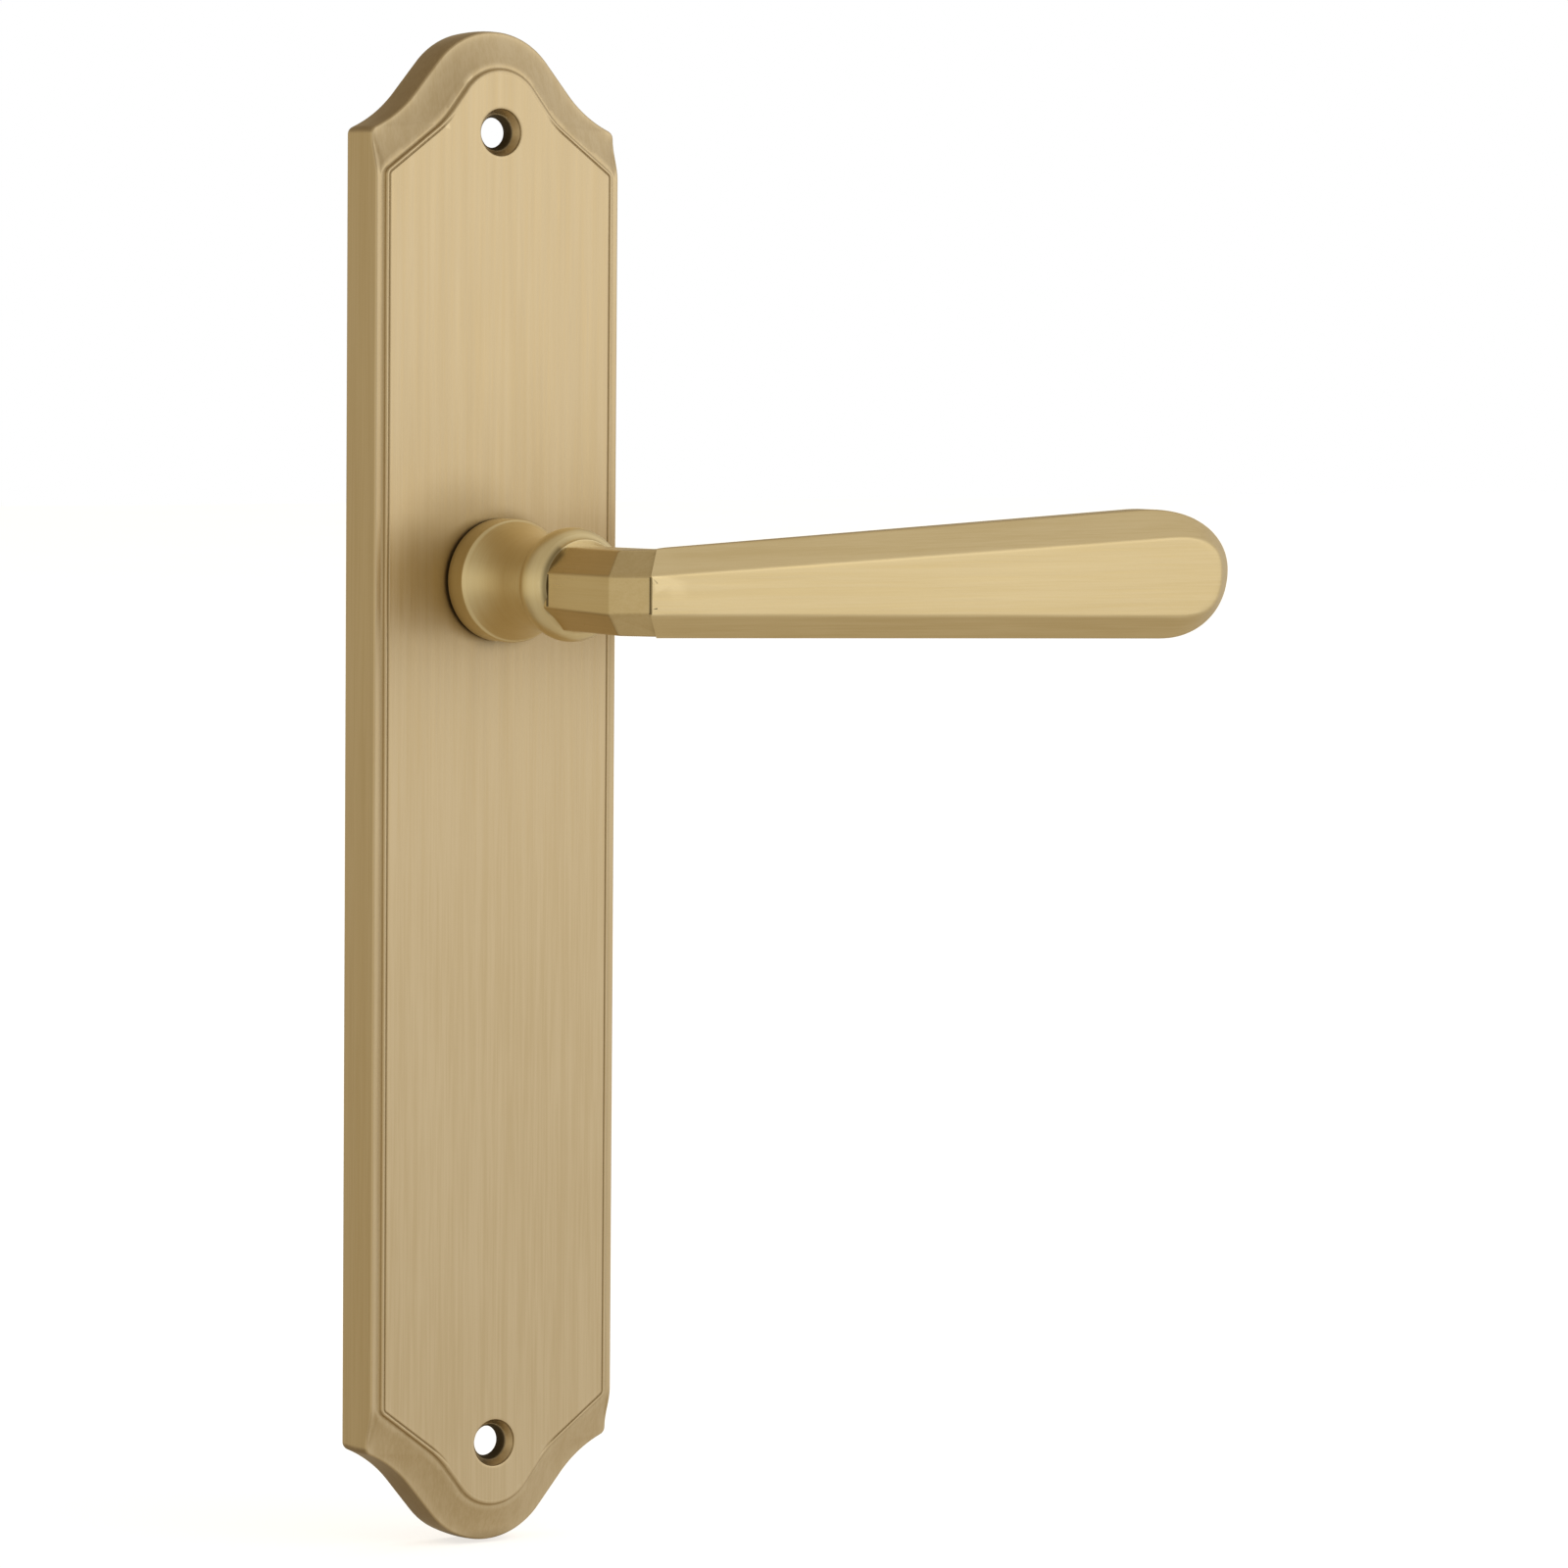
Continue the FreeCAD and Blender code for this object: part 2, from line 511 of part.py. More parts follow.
def makeHub():
    front = "Sizes.seatFloor - Sizes.cupWall - Sizes.thrustThick - Sizes.runGap"
    flange = rod("HubFlange", "Sizes.hubFlangeRadius", front, "Sizes.hubFlange")
    sleeve = rod("HubSleeve", "Sizes.hubSleeve", front, front + " - Sizes.hubBack")
    lug = rod("HubLug", "Sizes.lugReach", front, "Sizes.hubFlange")
    bind(lug, Angle="2 * Sizes.lugHalfAngle")
    lug.Placement.Rotation = Rotation(Vector(0, 1, 0), -(90 + size("lugHalfAngle"))).multiply(toDoor)
    tang = block("HubTang", "2 * Sizes.tangHalf", front + " - Sizes.hubBack - 1.2",
                 "Sizes.tangReach - Sizes.hubFlangeRadius", "-Sizes.tangHalf", front, "Sizes.hubFlangeRadius")
    hole = rod("HubHole", "Sizes.shankRadius + 0.02", front + " + 1", "Sizes.seatFloor")
    keyed = doc.addObject("Part::Common", "HubBore")
    keyed.Base = hole
    keyed.Tool = block("HubKey", "2 * (Sizes.shankRadius - Sizes.flatDepth + 0.02)", "Sizes.seatFloor + 2",
                       "20 mm", "-Sizes.shankRadius + Sizes.flatDepth - 0.02",
                       "Sizes.seatFloor + 1", "-10 mm")
    return finish(cut("Hub", fuse("HubBlank", flange, sleeve, lug, tang), keyed), "drive_hub")


def makeSpring():
    """Torsion spring round the hub's sleeve. Its front leg lies beside the hub's tang and pushes the
    lever back up, and its back leg sits in the slot in the housing's rim."""
    coil, wire, pitch, turns = (size(n) for n in ("springCoil", "springWire", "springPitch", "springTurns"))
    reach = size("seatRadius") - 0.2
    back = size("cupRim") + wire / 2 + 0.12
    front = back + pitch * turns
    path = Part.Wire(Part.makeHelix(pitch, pitch * turns, coil))
    section = Part.Wire(Part.makeCircle(wire / 2, Vector(coil, 0, 0), Vector(0, 1, 0)))
    pipe = path.makePipeShell([section], True, True)
    lean = math.degrees(math.asin((size("tangHalf") + wire / 2 + 0.03) / coil))
    turn = Rotation(Vector(0, 1, 0), lean - 90).multiply(toDoor)
    pipe.Placement = FreeCAD.Placement(Vector(0, -front, 0), turn)
    side = coil * math.sin(math.radians(lean))
    rise = coil * math.cos(math.radians(lean))
    pushing = Part.makeCylinder(wire / 2, size("tangReach") - rise,
                                Vector(side, -front, rise), Vector(0, 0, 1))
    held = Part.makeCylinder(wire / 2, reach - rise, Vector(-rise, -back, side), Vector(-1, 0, 0))
    spring = doc.addObject("Part::Feature", "Spring")
    spring.Shape = pipe.fuse([pushing, held])
    return finish(spring, "return_spring")


def makeCover():
    """Cassette lid: a round plate with an ear above and one below for its screws."""
    disc = rod("CoverDisc", "Sizes.seatRadius", "Sizes.cupRim", "Sizes.coverThick")
    ears = []
    holes = [rod("CoverHole", "Sizes.coverHole", "Sizes.cupRim + 1", "Sizes.coverThick + 2")]
    strap = block("CoverStrap", "2 * Sizes.bossRadius", "Sizes.coverThick", "Sizes.bossSpacing",
                  "-Sizes.bossRadius", "Sizes.cupRim", "-Sizes.bossSpacing / 2")
    for sign, word in ((1, "Upper"), (-1, "Lower")):
        height = "%d * Sizes.bossSpacing / 2" % sign
        ear = rod("Ear" + word, "Sizes.bossRadius", "Sizes.cupRim", "Sizes.coverThick")
        hole = rod("EarHole" + word, "Sizes.screwRadius + 0.15", "Sizes.cupRim + 1", "Sizes.coverThick + 2")
        ears.append(bind(ear, Placement_Base_z=height))
        holes.append(bind(hole, Placement_Base_z=height))
    return finish(cut("Cover", fuse("CoverBlank", disc, strap, *ears), fuse("CoverHoles", *holes)),
                  "cassette_cover")


def makeCassetteScrews():
    screws = []
    top = "Sizes.cupRim - Sizes.coverThick"
    for sign, word in ((1, "Upper"), (-1, "Lower")):
        shank = rod("ScrewShank" + word, "Sizes.screwRadius", "Sizes.cupRim + Sizes.screwLength",
                    "Sizes.screwLength + Sizes.coverThick")
        head = rod("ScrewHead" + word, "Sizes.screwHead", top, "Sizes.screwHeadHeight")
        slot = block("ScrewSlot" + word, "10 mm", "0.6 mm", "0.7 mm", "-5 mm",
                     top + " - Sizes.screwHeadHeight + 0.6", "%d * Sizes.bossSpacing / 2 - 0.35" % sign)
        for piece in (shank, head):
            bind(piece, Placement_Base_z="%d * Sizes.bossSpacing / 2" % sign)
        screws.append(cut("Screw" + word, fuse("ScrewBlank" + word, shank, head), slot))
    return finish(fuse("CassetteScrews", *screws), "cassette_screws")


def makeShim():
    front = "Sizes.cupRim - Sizes.coverThick"
    disc = rod("ShimDisc", "Sizes.shankRadius + 2", front, "Sizes.shimThick")
    hole = rod("ShimHole", "Sizes.shankRadius + 0.1", front, "Sizes.shimThick")
    return finish(cut("Shim", disc, hole), "shim_washer")


def makeCirclip():
    front = "Sizes.clipBack + Sizes.clipThick"
    ring = rod("ClipRing", "Sizes.shankRadius + 1.5", front, "Sizes.clipThick")
    hole = rod("ClipHole", "Sizes.grooveRadius + 0.02", front, "Sizes.clipThick")
    gap = block("ClipGap", "3.2 mm", "Sizes.clipThick", "10 mm", "-1.6 mm", front, "0 mm")
    lugs = []
    for word, place in (("Left", "-2.9 mm"), ("Right", "2.9 mm")):
        lug = rod("ClipLug" + word, "1.3 mm", front, "Sizes.clipThick")
        eye = rod("ClipEye" + word, "0.6 mm", front, "Sizes.clipThick")
        for piece in (lug, eye):
            bind(piece, Placement_Base_x=place, Placement_Base_z="Sizes.shankRadius + 1.6")
        lugs.append((lug, eye))
    blank = fuse("ClipBlank", ring, *[lug for lug, eye in lugs])
    return finish(cut("Clip", blank, fuse("ClipTools", hole, gap, *[eye for lug, eye in lugs])), "circlip")


makeBackplate()
makeNeck()
makeLever()
makeSpindle()
makeGrubScrew()
makeBush()
makeCup()
makeStops()
makeThrustWasher()
makeHub()
makeSpring()
makeCover()
makeCassetteScrews()
makeShim()
makeCirclip()
doc.recompute()

for thing in doc.Objects:
    if "Invalid" in thing.State or "Error" in thing.State:
        raise RuntimeError("%s failed to compute" % thing.Name)
for thing in parts:
    if thing.Shape.isNull() or not thing.Shape.isValid():
        raise RuntimeError("%s has no valid shape" % thing.Label)

os.makedirs("parts", exist_ok=True)
for thing in parts:
    thing.Shape.exportStep("parts/%s.step" % thing.Label)
    box = thing.Shape.BoundBox
    print("%-18s %2d solid %10.2f mm3  x %.2f..%.2f y %.2f..%.2f z %.2f..%.2f" % (
        thing.Label, len(thing.Shape.Solids), thing.Shape.Volume,
        box.XMin, box.XMax, box.YMin, box.YMax, box.ZMin, box.ZMax))
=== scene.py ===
import math
import bmesh
import bpy
from mathutils import Matrix, Vector


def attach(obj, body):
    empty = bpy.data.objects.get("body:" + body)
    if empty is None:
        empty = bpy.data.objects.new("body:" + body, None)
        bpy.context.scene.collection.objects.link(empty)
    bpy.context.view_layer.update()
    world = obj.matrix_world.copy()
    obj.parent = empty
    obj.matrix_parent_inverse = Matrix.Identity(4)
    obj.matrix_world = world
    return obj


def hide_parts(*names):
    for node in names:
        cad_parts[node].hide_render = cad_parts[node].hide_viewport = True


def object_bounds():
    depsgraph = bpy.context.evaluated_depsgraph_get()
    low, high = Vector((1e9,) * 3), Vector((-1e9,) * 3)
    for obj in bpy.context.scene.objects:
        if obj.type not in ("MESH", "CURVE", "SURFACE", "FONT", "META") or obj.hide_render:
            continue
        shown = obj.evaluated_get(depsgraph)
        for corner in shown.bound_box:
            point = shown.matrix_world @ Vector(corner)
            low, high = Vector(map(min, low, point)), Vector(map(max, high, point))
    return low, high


# Lever handle on a long arched backplate. Metres, origin on the spindle axis at the door face,
# +X along the grip, +Y into the door, +Z up. Lengths in the settings below are in millimetres.

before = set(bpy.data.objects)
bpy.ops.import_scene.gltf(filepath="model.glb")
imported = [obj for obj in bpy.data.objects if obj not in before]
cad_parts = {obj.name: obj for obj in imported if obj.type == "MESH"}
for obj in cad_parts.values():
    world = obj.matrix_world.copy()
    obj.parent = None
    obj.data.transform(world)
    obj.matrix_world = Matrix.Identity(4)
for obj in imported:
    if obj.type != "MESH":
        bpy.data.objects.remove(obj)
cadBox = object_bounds()
mm = 0.001
collection = bpy.context.scene.collection
print("frame loaded:", len(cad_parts), "nodes")


class Wire:
    # one output of a shader node, and arithmetic on it
    def __init__(self, paint, socket):
        self.paint, self.socket = paint, socket

    def math(self, operation, *values):
        return self.paint.node("ShaderNodeMath", {"operation": operation}, values)

    def __add__(self, other): return self.math("ADD", self, other)
    def __radd__(self, other): return self.math("ADD", other, self)
    def __sub__(self, other): return self.math("SUBTRACT", self, other)
    def __rsub__(self, other): return self.math("SUBTRACT", other, self)
    def __mul__(self, other): return self.math("MULTIPLY", self, other)
    def __truediv__(self, other): return self.math("DIVIDE", self, other)
    def __pow__(self, other): return self.math("POWER", self, other)
    def __neg__(self): return self.math("MULTIPLY", self, -1.0)

    def ease(self, low, high):
        # 0 below low, 1 above high, smooth between
        return self.paint.node("ShaderNodeMapRange", {"interpolation_type": "SMOOTHSTEP"},
                               {"Value": self, "From Min": low, "From Max": high})


class Paint:
    def __init__(self, name, owner=None):
        self.material = owner or bpy.data.materials.new(name)
        self.material.use_nodes = True
        self.tree = self.material.node_tree
        self.tree.nodes.clear()

    def node(self, kind, settings=None, sockets=(), out=0):
        made = self.tree.nodes.new(kind)
        for key, value in (settings or {}).items():
            setattr(made, key, value)
        pairs = sockets.items() if isinstance(sockets, dict) else enumerate(sockets)
        for key, value in pairs:
            if isinstance(value, Wire):
                self.tree.links.new(value.socket, made.inputs[key])
            else:
                made.inputs[key].default_value = value
        return Wire(self, made.outputs[out])

    def mixColour(self, mask, below, above):
        below = (*below, 1.0) if isinstance(below, tuple) else below
        above = (*above, 1.0) if isinstance(above, tuple) else above
        return self.node("ShaderNodeMix", {"data_type": "RGBA"},
                         {0: mask, 6: below, 7: above}, out=2)

    def place(self):
        return self.node("ShaderNodeTexCoord", out=3)

    def parts(self, vector):
        split = self.node("ShaderNodeSeparateXYZ", {}, [vector])
        outs = split.socket.node.outputs
        return [Wire(self, outs[i]) for i in range(3)]

    def join(self, x, y, z):
        return self.node("ShaderNodeCombineXYZ", {}, [x, y, z])

    def stretched(self, vector, scale):
        return self.node("ShaderNodeVectorMath", {"operation": "MULTIPLY"}, [vector, scale])

    def noise(self, vector, scale, detail=2.0, rough=0.5):
        return self.node("ShaderNodeTexNoise", {"noise_dimensions": "3D"},
                         {"Vector": vector, "Scale": scale, "Detail": detail, "Roughness": rough})

    def bump(self, height, strength, distance):
        return self.node("ShaderNodeBump", {},
                         {"Height": height, "Strength": strength, "Distance": distance})

    def surface(self, constants, **varying):
        shader = self.node("ShaderNodeBsdfPrincipled", {}, {**constants, **varying})
        self.end("ShaderNodeOutputMaterial", shader)
        return self.material

    def end(self, kind, shader):
        last = self.tree.nodes.new(kind)
        self.tree.links.new(shader.socket, last.inputs["Surface"])


brassTone = {
    "base": (0.600, 0.455, 0.243), "pale": (0.690, 0.545, 0.320), "deep": (0.270, 0.185, 0.075),
    "shadedHoles": (0.052, 0.034, 0.012),
    "fine": 3000.0, "broad": 700.0, "run": 55.0,            # brush lines per metre, across and along
    "fineShare": 0.62, "lineRange": (0.36, 0.64), "streakTone": 0.62,
    "cloudScale": 38.0, "cloudRange": (0.35, 0.7), "cloudTone": 0.22,
    "grimeReach": 2.4, "grimeRange": (0.42, 0.98), "grime": 0.85,      # painted shade in corners, grooves and round the neck, from ambient occlusion
    "wornRange": (0.515, 0.56), "worn": 0.3, "wornRough": 0.07,        # edges rubbed bright
    "rough": 0.38, "roughSwing": 0.20, "roughCloud": 0.06,
    "bump": 0.30, "bumpShare": 0.7, "bumpDepth": 0.03,
    "coat": 0.10, "coatRough": 0.30, "specular": 0.12,
    "holeShadeRange": (2.75, 3.05), "holeShadeRough": 0.4, "holeShadeMetal": 0.9,        # painted shade on the walls of the screw holes
}
# the share of the run that the broad lines keep, and metres of arc that one radian stands for
lineShape = {"detail": 3.0, "rough": 0.62, "broadRun": 0.35, "roundRun": 0.02, "roundBroadRun": 0.008}
# where the shank's brush lines give way to the grip's: a point of the mitre, its normal, and how soft
mitreLine = {"corner": (7.0, -48.0), "slope": (0.564, -0.825), "soft": 0.4}


def brushLines(paint, direction, fine, broad, length):
    # streaks along one direction; returns (fine, broad) noises in 0..1
    if direction == "round":
        x, y, z = paint.parts(paint.place())
        angle = paint.node("ShaderNodeMath", {"operation": "ARCTAN2"}, [x, z])
        across = y + (x * x + z * z) ** 0.5
        thin = paint.join(across * fine, angle * (length * lineShape["roundRun"]), 0.0)
        wide = paint.join(across * broad, angle * (length * lineShape["roundBroadRun"]), 3.0)
        return paint.noise(thin, 1.0, 3.0, 0.6), paint.noise(wide, 1.0)
    along = {"x": 0, "y": 1, "z": 2}[direction]
    thinScale = tuple(length if i == along else fine for i in range(3))
    wideScale = tuple(length * lineShape["broadRun"] if i == along else broad for i in range(3))
    thin = paint.noise(paint.stretched(paint.place(), thinScale), 1.0,
                       lineShape["detail"], lineShape["rough"])
    return thin, paint.noise(paint.stretched(paint.place(), wideScale), 1.0)


def bentLines(paint, fine, broad, length):
    # the streaks follow the shank as far as the mitre, and the grip beyond it
    shank = brushLines(paint, "y", fine, broad, length)
    grip = brushLines(paint, "x", fine, broad, length)
    x, y = paint.parts(paint.place())[:2]
    corner, slope, soft = mitreLine["corner"], mitreLine["slope"], mitreLine["soft"]
    beyond = ((x / mm - corner[0]) * slope[0] + (y / mm - corner[1]) * slope[1]).ease(-soft, soft)
    return [a + (b - a) * beyond for a, b in zip(shank, grip)]


def brushedBrass(name, direction, shadedHoles=(), seamsAndShade=(), paintedShadow=None, **changes):
    # shadedHoles: heights of the screw holes, whose walls get painted shade
    # seamsAndShade: dark joint lines, and lines of painted shade where parts meet, each as (low, high)
    # in mm along X, -Y and Z, softness and strength
    # paintedShadow: a painted shadow of the lever on the plate, as centre X and Z, inner and outer
    # radius, strength
    tone = {**brassTone, **changes}
    paint = Paint(name)
    if direction == "bent":
        thin, wide = bentLines(paint, tone["fine"], tone["broad"], tone["run"])
    else:
        thin, wide = brushLines(paint, direction, tone["fine"], tone["broad"], tone["run"])
    cloud = paint.noise(paint.place(), tone["cloudScale"], 3.0, 0.55)
    edge = paint.node("ShaderNodeNewGeometry", out=7).ease(*tone["wornRange"])
    # painted shade: the brass turns to the deep tone where ambient occlusion finds other surfaces
    # close by, in corners, grooves and round the neck's base
    hollow = paint.node("ShaderNodeAmbientOcclusion", {"samples": 6},
                        {"Distance": tone["grimeReach"] * mm}, out=1)
    grime = 1.0 - hollow.ease(*tone["grimeRange"])
    lines = (thin * tone["fineShare"] + wide * (1.0 - tone["fineShare"])).ease(*tone["lineRange"])
    streaks = lines * tone["streakTone"] + cloud.ease(*tone["cloudRange"]) * tone["cloudTone"]
    colour = paint.mixColour(streaks, tone["base"], tone["pale"])
    colour = paint.mixColour(grime * tone["grime"], colour, tone["deep"])
    colour = paint.mixColour(edge * tone["worn"], colour, tone["pale"])
    x, y, z = paint.parts(paint.place())
    # painted shadow: a soft round patch of the deep tone where the lever's shadow falls on the plate
    if paintedShadow:
        across, up, near, far, share = paintedShadow
        away = ((x / mm - across) ** 2.0 + (z / mm - up) ** 2.0) ** 0.5
        colour = paint.mixColour((1.0 - away.ease(near, far)) * share, colour, tone["deep"])
    # dark joint lines, and painted shade where the lever meets the neck
    for ranges, soft, line in seamsAndShade:
        for where, (low, high) in zip((x / mm, y / -mm, z / mm), ranges):
            line = where.ease(low - soft, low) * (1.0 - where.ease(high, high + soft)) * line
        colour = paint.mixColour(line, colour, tone["shadedHoles"])
    rough = tone["rough"] + (thin - 0.5) * tone["roughSwing"] + (cloud - 0.5) * tone["roughCloud"]
    rough, metallic = rough - edge * tone["wornRough"], 1.0
    # painted shade inside the screw holes: near-black, rougher and hardly metallic within a small
    # radius of each hole's axis
    for height in shadedHoles:
        away = (x * x + (z - height * mm) ** 2.0) ** 0.5
        holeShade = 1.0 - away.ease(*(radius * mm for radius in tone["holeShadeRange"]))
        colour = paint.mixColour(holeShade, colour, tone["shadedHoles"])
        rough, metallic = rough + holeShade * tone["holeShadeRough"], metallic - holeShade * tone["holeShadeMetal"]
    height = thin * tone["bumpShare"] + wide * (1.0 - tone["bumpShare"])
    return paint.surface(
        {"Coat Roughness": tone["coatRough"], "Coat Weight": tone["coat"],
         "Specular IOR Level": tone["specular"]},
        **{"Base Color": colour, "Metallic": metallic, "Roughness": rough,
           "Normal": paint.bump(height, tone["bump"], tone["bumpDepth"] * mm)})


plasticTone = {
    "cloudScale": 160.0, "cloudRange": (0.3, 0.75), "cloudTone": 0.6, "grainScale": 5200.0,
    "roughSwing": 0.18, "bump": 0.18, "bumpDepth": 0.02, "specular": 0.42,
}
steelTone = {
    "fine": 3200.0, "broad": 700.0, "run": 120.0, "lineRange": (0.35, 0.65), "lineTone": 0.5,
    "stainRange": (0.55, 0.8), "stain": 0.35, "wornRange": (0.51, 0.55), "worn": 0.5,
    "roughCloud": 0.2, "roughLine": 0.1, "bumpShare": 0.5, "bump": 0.2, "bumpDepth": 0.02,
}


def mouldedPlastic(name, base, light, rough):
    tone, paint = plasticTone, Paint(name)
    cloud = paint.noise(paint.place(), tone["cloudScale"], 3.0, 0.6)
    grain = paint.noise(paint.place(), tone["grainScale"])
    colour = paint.mixColour(cloud.ease(*tone["cloudRange"]) * tone["cloudTone"], base, light)
    return paint.surface({"Specular IOR Level": tone["specular"]}, **{
        "Base Color": colour, "Roughness": rough + (grain - 0.5) * tone["roughSwing"],
        "Normal": paint.bump(grain, tone["bump"], tone["bumpDepth"] * mm)})


def platedSteel(name, base, light, deep, rough, direction="x", mottle=300.0):
    # mottle: how fine the stains are, in spots per metre
    tone, paint = steelTone, Paint(name)
    thin = brushLines(paint, direction, tone["fine"], tone["broad"], tone["run"])[0]
    cloud = paint.noise(paint.place(), mottle, 4.0, 0.6)
    edge = paint.node("ShaderNodeNewGeometry", out=7).ease(*tone["wornRange"])
    colour = paint.mixColour(thin.ease(*tone["lineRange"]) * tone["lineTone"], base, light)
    colour = paint.mixColour(cloud.ease(*tone["stainRange"]) * tone["stain"], colour, deep)
    colour = paint.mixColour(edge * tone["worn"], colour, light)
    height = thin * tone["bumpShare"] + cloud * (1.0 - tone["bumpShare"])
    return paint.surface({"Metallic": 1.0}, **{
        "Base Color": colour,
        "Roughness": rough + (cloud - 0.5) * tone["roughCloud"] + (thin - 0.5) * tone["roughLine"],
        "Normal": paint.bump(height, tone["bump"], tone["bumpDepth"] * mm)})


# the plate's last argument paints the lever's shadow on the plate, left of the neck
plateBrass = brushedBrass("plateBrass", "z", shadedHoles=(70.5, -137.5),
                          paintedShadow=(-7.0, 3.0, 5.0, 16.0, 0.5))
# painted highlight: the grip's base and pale are lighter than the plate's, for the light the grip
# catches
gripBrass = brushedBrass(
    "gripBrass", "bent", base=(0.670, 0.515, 0.252), pale=(0.760, 0.605, 0.328), grime=0.6,
    seamsAndShade=[(((-2.42, -2.32), (57.8, 60.0), (-3.6, 2.0)), 0.06, 0.85),
           # painted shade: the second line darkens the bar's left face where it leaves the neck
           (((-9.0, -6.6), (35.3, 35.85), (-3.1, 1.8)), 0.12, 0.85)])
# painted highlight: the neck's base and pale are much lighter than the plate's, for the light the neck
# catches
neckBrass = brushedBrass(
    "neckBrass", "round", base=(0.830, 0.675, 0.360), pale=(0.880, 0.740, 0.430), grime=0.6,
    # painted shade on the left of the neck's front end, where the ring meets the bar
    seamsAndShade=[(((-20.0, -4.6), (35.1, 36.0), (-4.0, 6.0)), 0.8, 0.55)])
bushNylon = mouldedPlastic("bushNylon", (0.035, 0.030, 0.026), (0.075, 0.066, 0.058), 0.46)
whiteAcetal = mouldedPlastic("whiteAcetal", (0.74, 0.73, 0.68), (0.86, 0.85, 0.80), 0.42)
zincSteel = platedSteel(
    "zincSteel", (0.58, 0.60, 0.62), (0.74, 0.75, 0.76), (0.34, 0.35, 0.37), 0.30)
driveSteel = platedSteel(
    "driveSteel", (0.36, 0.355, 0.34), (0.50, 0.49, 0.47), (0.20, 0.19, 0.17), 0.42, mottle=900.0)
springSteel = platedSteel(
    "springSteel", (0.22, 0.22, 0.225), (0.42, 0.42, 0.43), (0.10, 0.10, 0.10), 0.30)
blackSteel = platedSteel(
    "blackSteel", (0.045, 0.045, 0.048), (0.14, 0.14, 0.15), (0.02, 0.02, 0.02), 0.40)
spindleSteel = platedSteel(
    "spindleSteel", (0.50, 0.50, 0.49), (0.68, 0.68, 0.67), (0.30, 0.29, 0.27), 0.32, "y")
print("materials made")


def ringOf(bm, points):
    return [bm.verts.new(p * mm) for p in points]


def loft(bm, rings):
    for low, high in zip(rings, rings[1:]):
        count = len(low)
        for i in range(count):
            j = (i + 1) % count
            bm.faces.new((low[i], low[j], high[j], high[i]))


def fill(bm, *loops):
    # flat face bounded by the first loop, with the others as holes
    edges = []
    for loop in loops:
        for i, vert in enumerate(loop):
            after = loop[(i + 1) % len(loop)]
            edges.append(bm.edges.get((vert, after)) or bm.edges.new((vert, after)))
    bmesh.ops.triangle_fill(bm, use_beauty=True, edges=edges)


def circle(radius, depth, height=0.0, count=72):
    return [Vector((radius * math.cos(2 * math.pi * i / count), -depth,
                    height + radius * math.sin(2 * math.pi * i / count))) for i in range(count)]


def rounded(before, corner, after, radius, count=4):
    # points of a soft corner between two straight runs
    start = corner + (before - corner).normalized() * min(radius, (before - corner).length * 0.49)
    end = corner + (after - corner).normalized() * min(radius, (after - corner).length * 0.49)
    return [start * (1 - t) ** 2 + corner * 2 * t * (1 - t) + end * t ** 2
            for t in (i / count for i in range(count + 1))]


def solid(name, bm):
    bmesh.ops.recalc_face_normals(bm, faces=bm.faces)
    mesh = bpy.data.meshes.new(name)
    bm.to_mesh(mesh)
    bm.free()
    thing = bpy.data.objects.new(name, mesh)
    collection.objects.link(thing)
    return thing


def shown(name, bm, material, body, slot, nodes, sharp):
    bmesh.ops.remove_doubles(bm, verts=bm.verts, dist=1e-7)
    return dress(solid(name, bm), material, body, slot, nodes, sharp)


def dress(thing, material, body, slot, nodes, sharp):
    # sharp: edges steeper than this many degrees stay crisp
    mesh = thing.data
    mesh.materials.clear()
    mesh.materials.append(material)
    mesh.shade_smooth()
    mesh.set_sharp_from_angle(angle=math.radians(sharp))
    weighted = thing.modifiers.new("EvenShading", "WEIGHTED_NORMAL")
    weighted.keep_sharp = True
    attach(thing, body)
    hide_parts(*nodes)
    return thing


def joinSolids(base, tools, operation):
    # base and tools are objects; the tools are used up
    for tool in tools:
        boolean = base.modifiers.new("Shape", "BOOLEAN")
        boolean.operation, boolean.solver, boolean.object = operation, "EXACT", tool
        bpy.context.view_layer.update()
        cut = base.evaluated_get(bpy.context.evaluated_depsgraph_get())
        made = bpy.data.meshes.new_from_object(cut)
        base.modifiers.clear()
        base.data = made
        bpy.data.objects.remove(tool)
    return base


def boxSolid(name, centre, size):
    bm = bmesh.new()
    bmesh.ops.create_cube(bm, size=1.0)
    for v in bm.verts:
        v.co = Vector([c + part * full for c, part, full in zip(centre, v.co, size)]) * mm
    return solid(name, bm)


def lathe(profile, count=144):
    # closed solid turned about the spindle axis from (radius, depth) points, ends on the axis
    bm = bmesh.new()
    rings = [ringOf(bm, circle(radius, depth, count=count)) for radius, depth in profile]
    loft(bm, rings)
    for end in (rings[0], rings[-1]):
        bm.faces.new(end)
    return bm


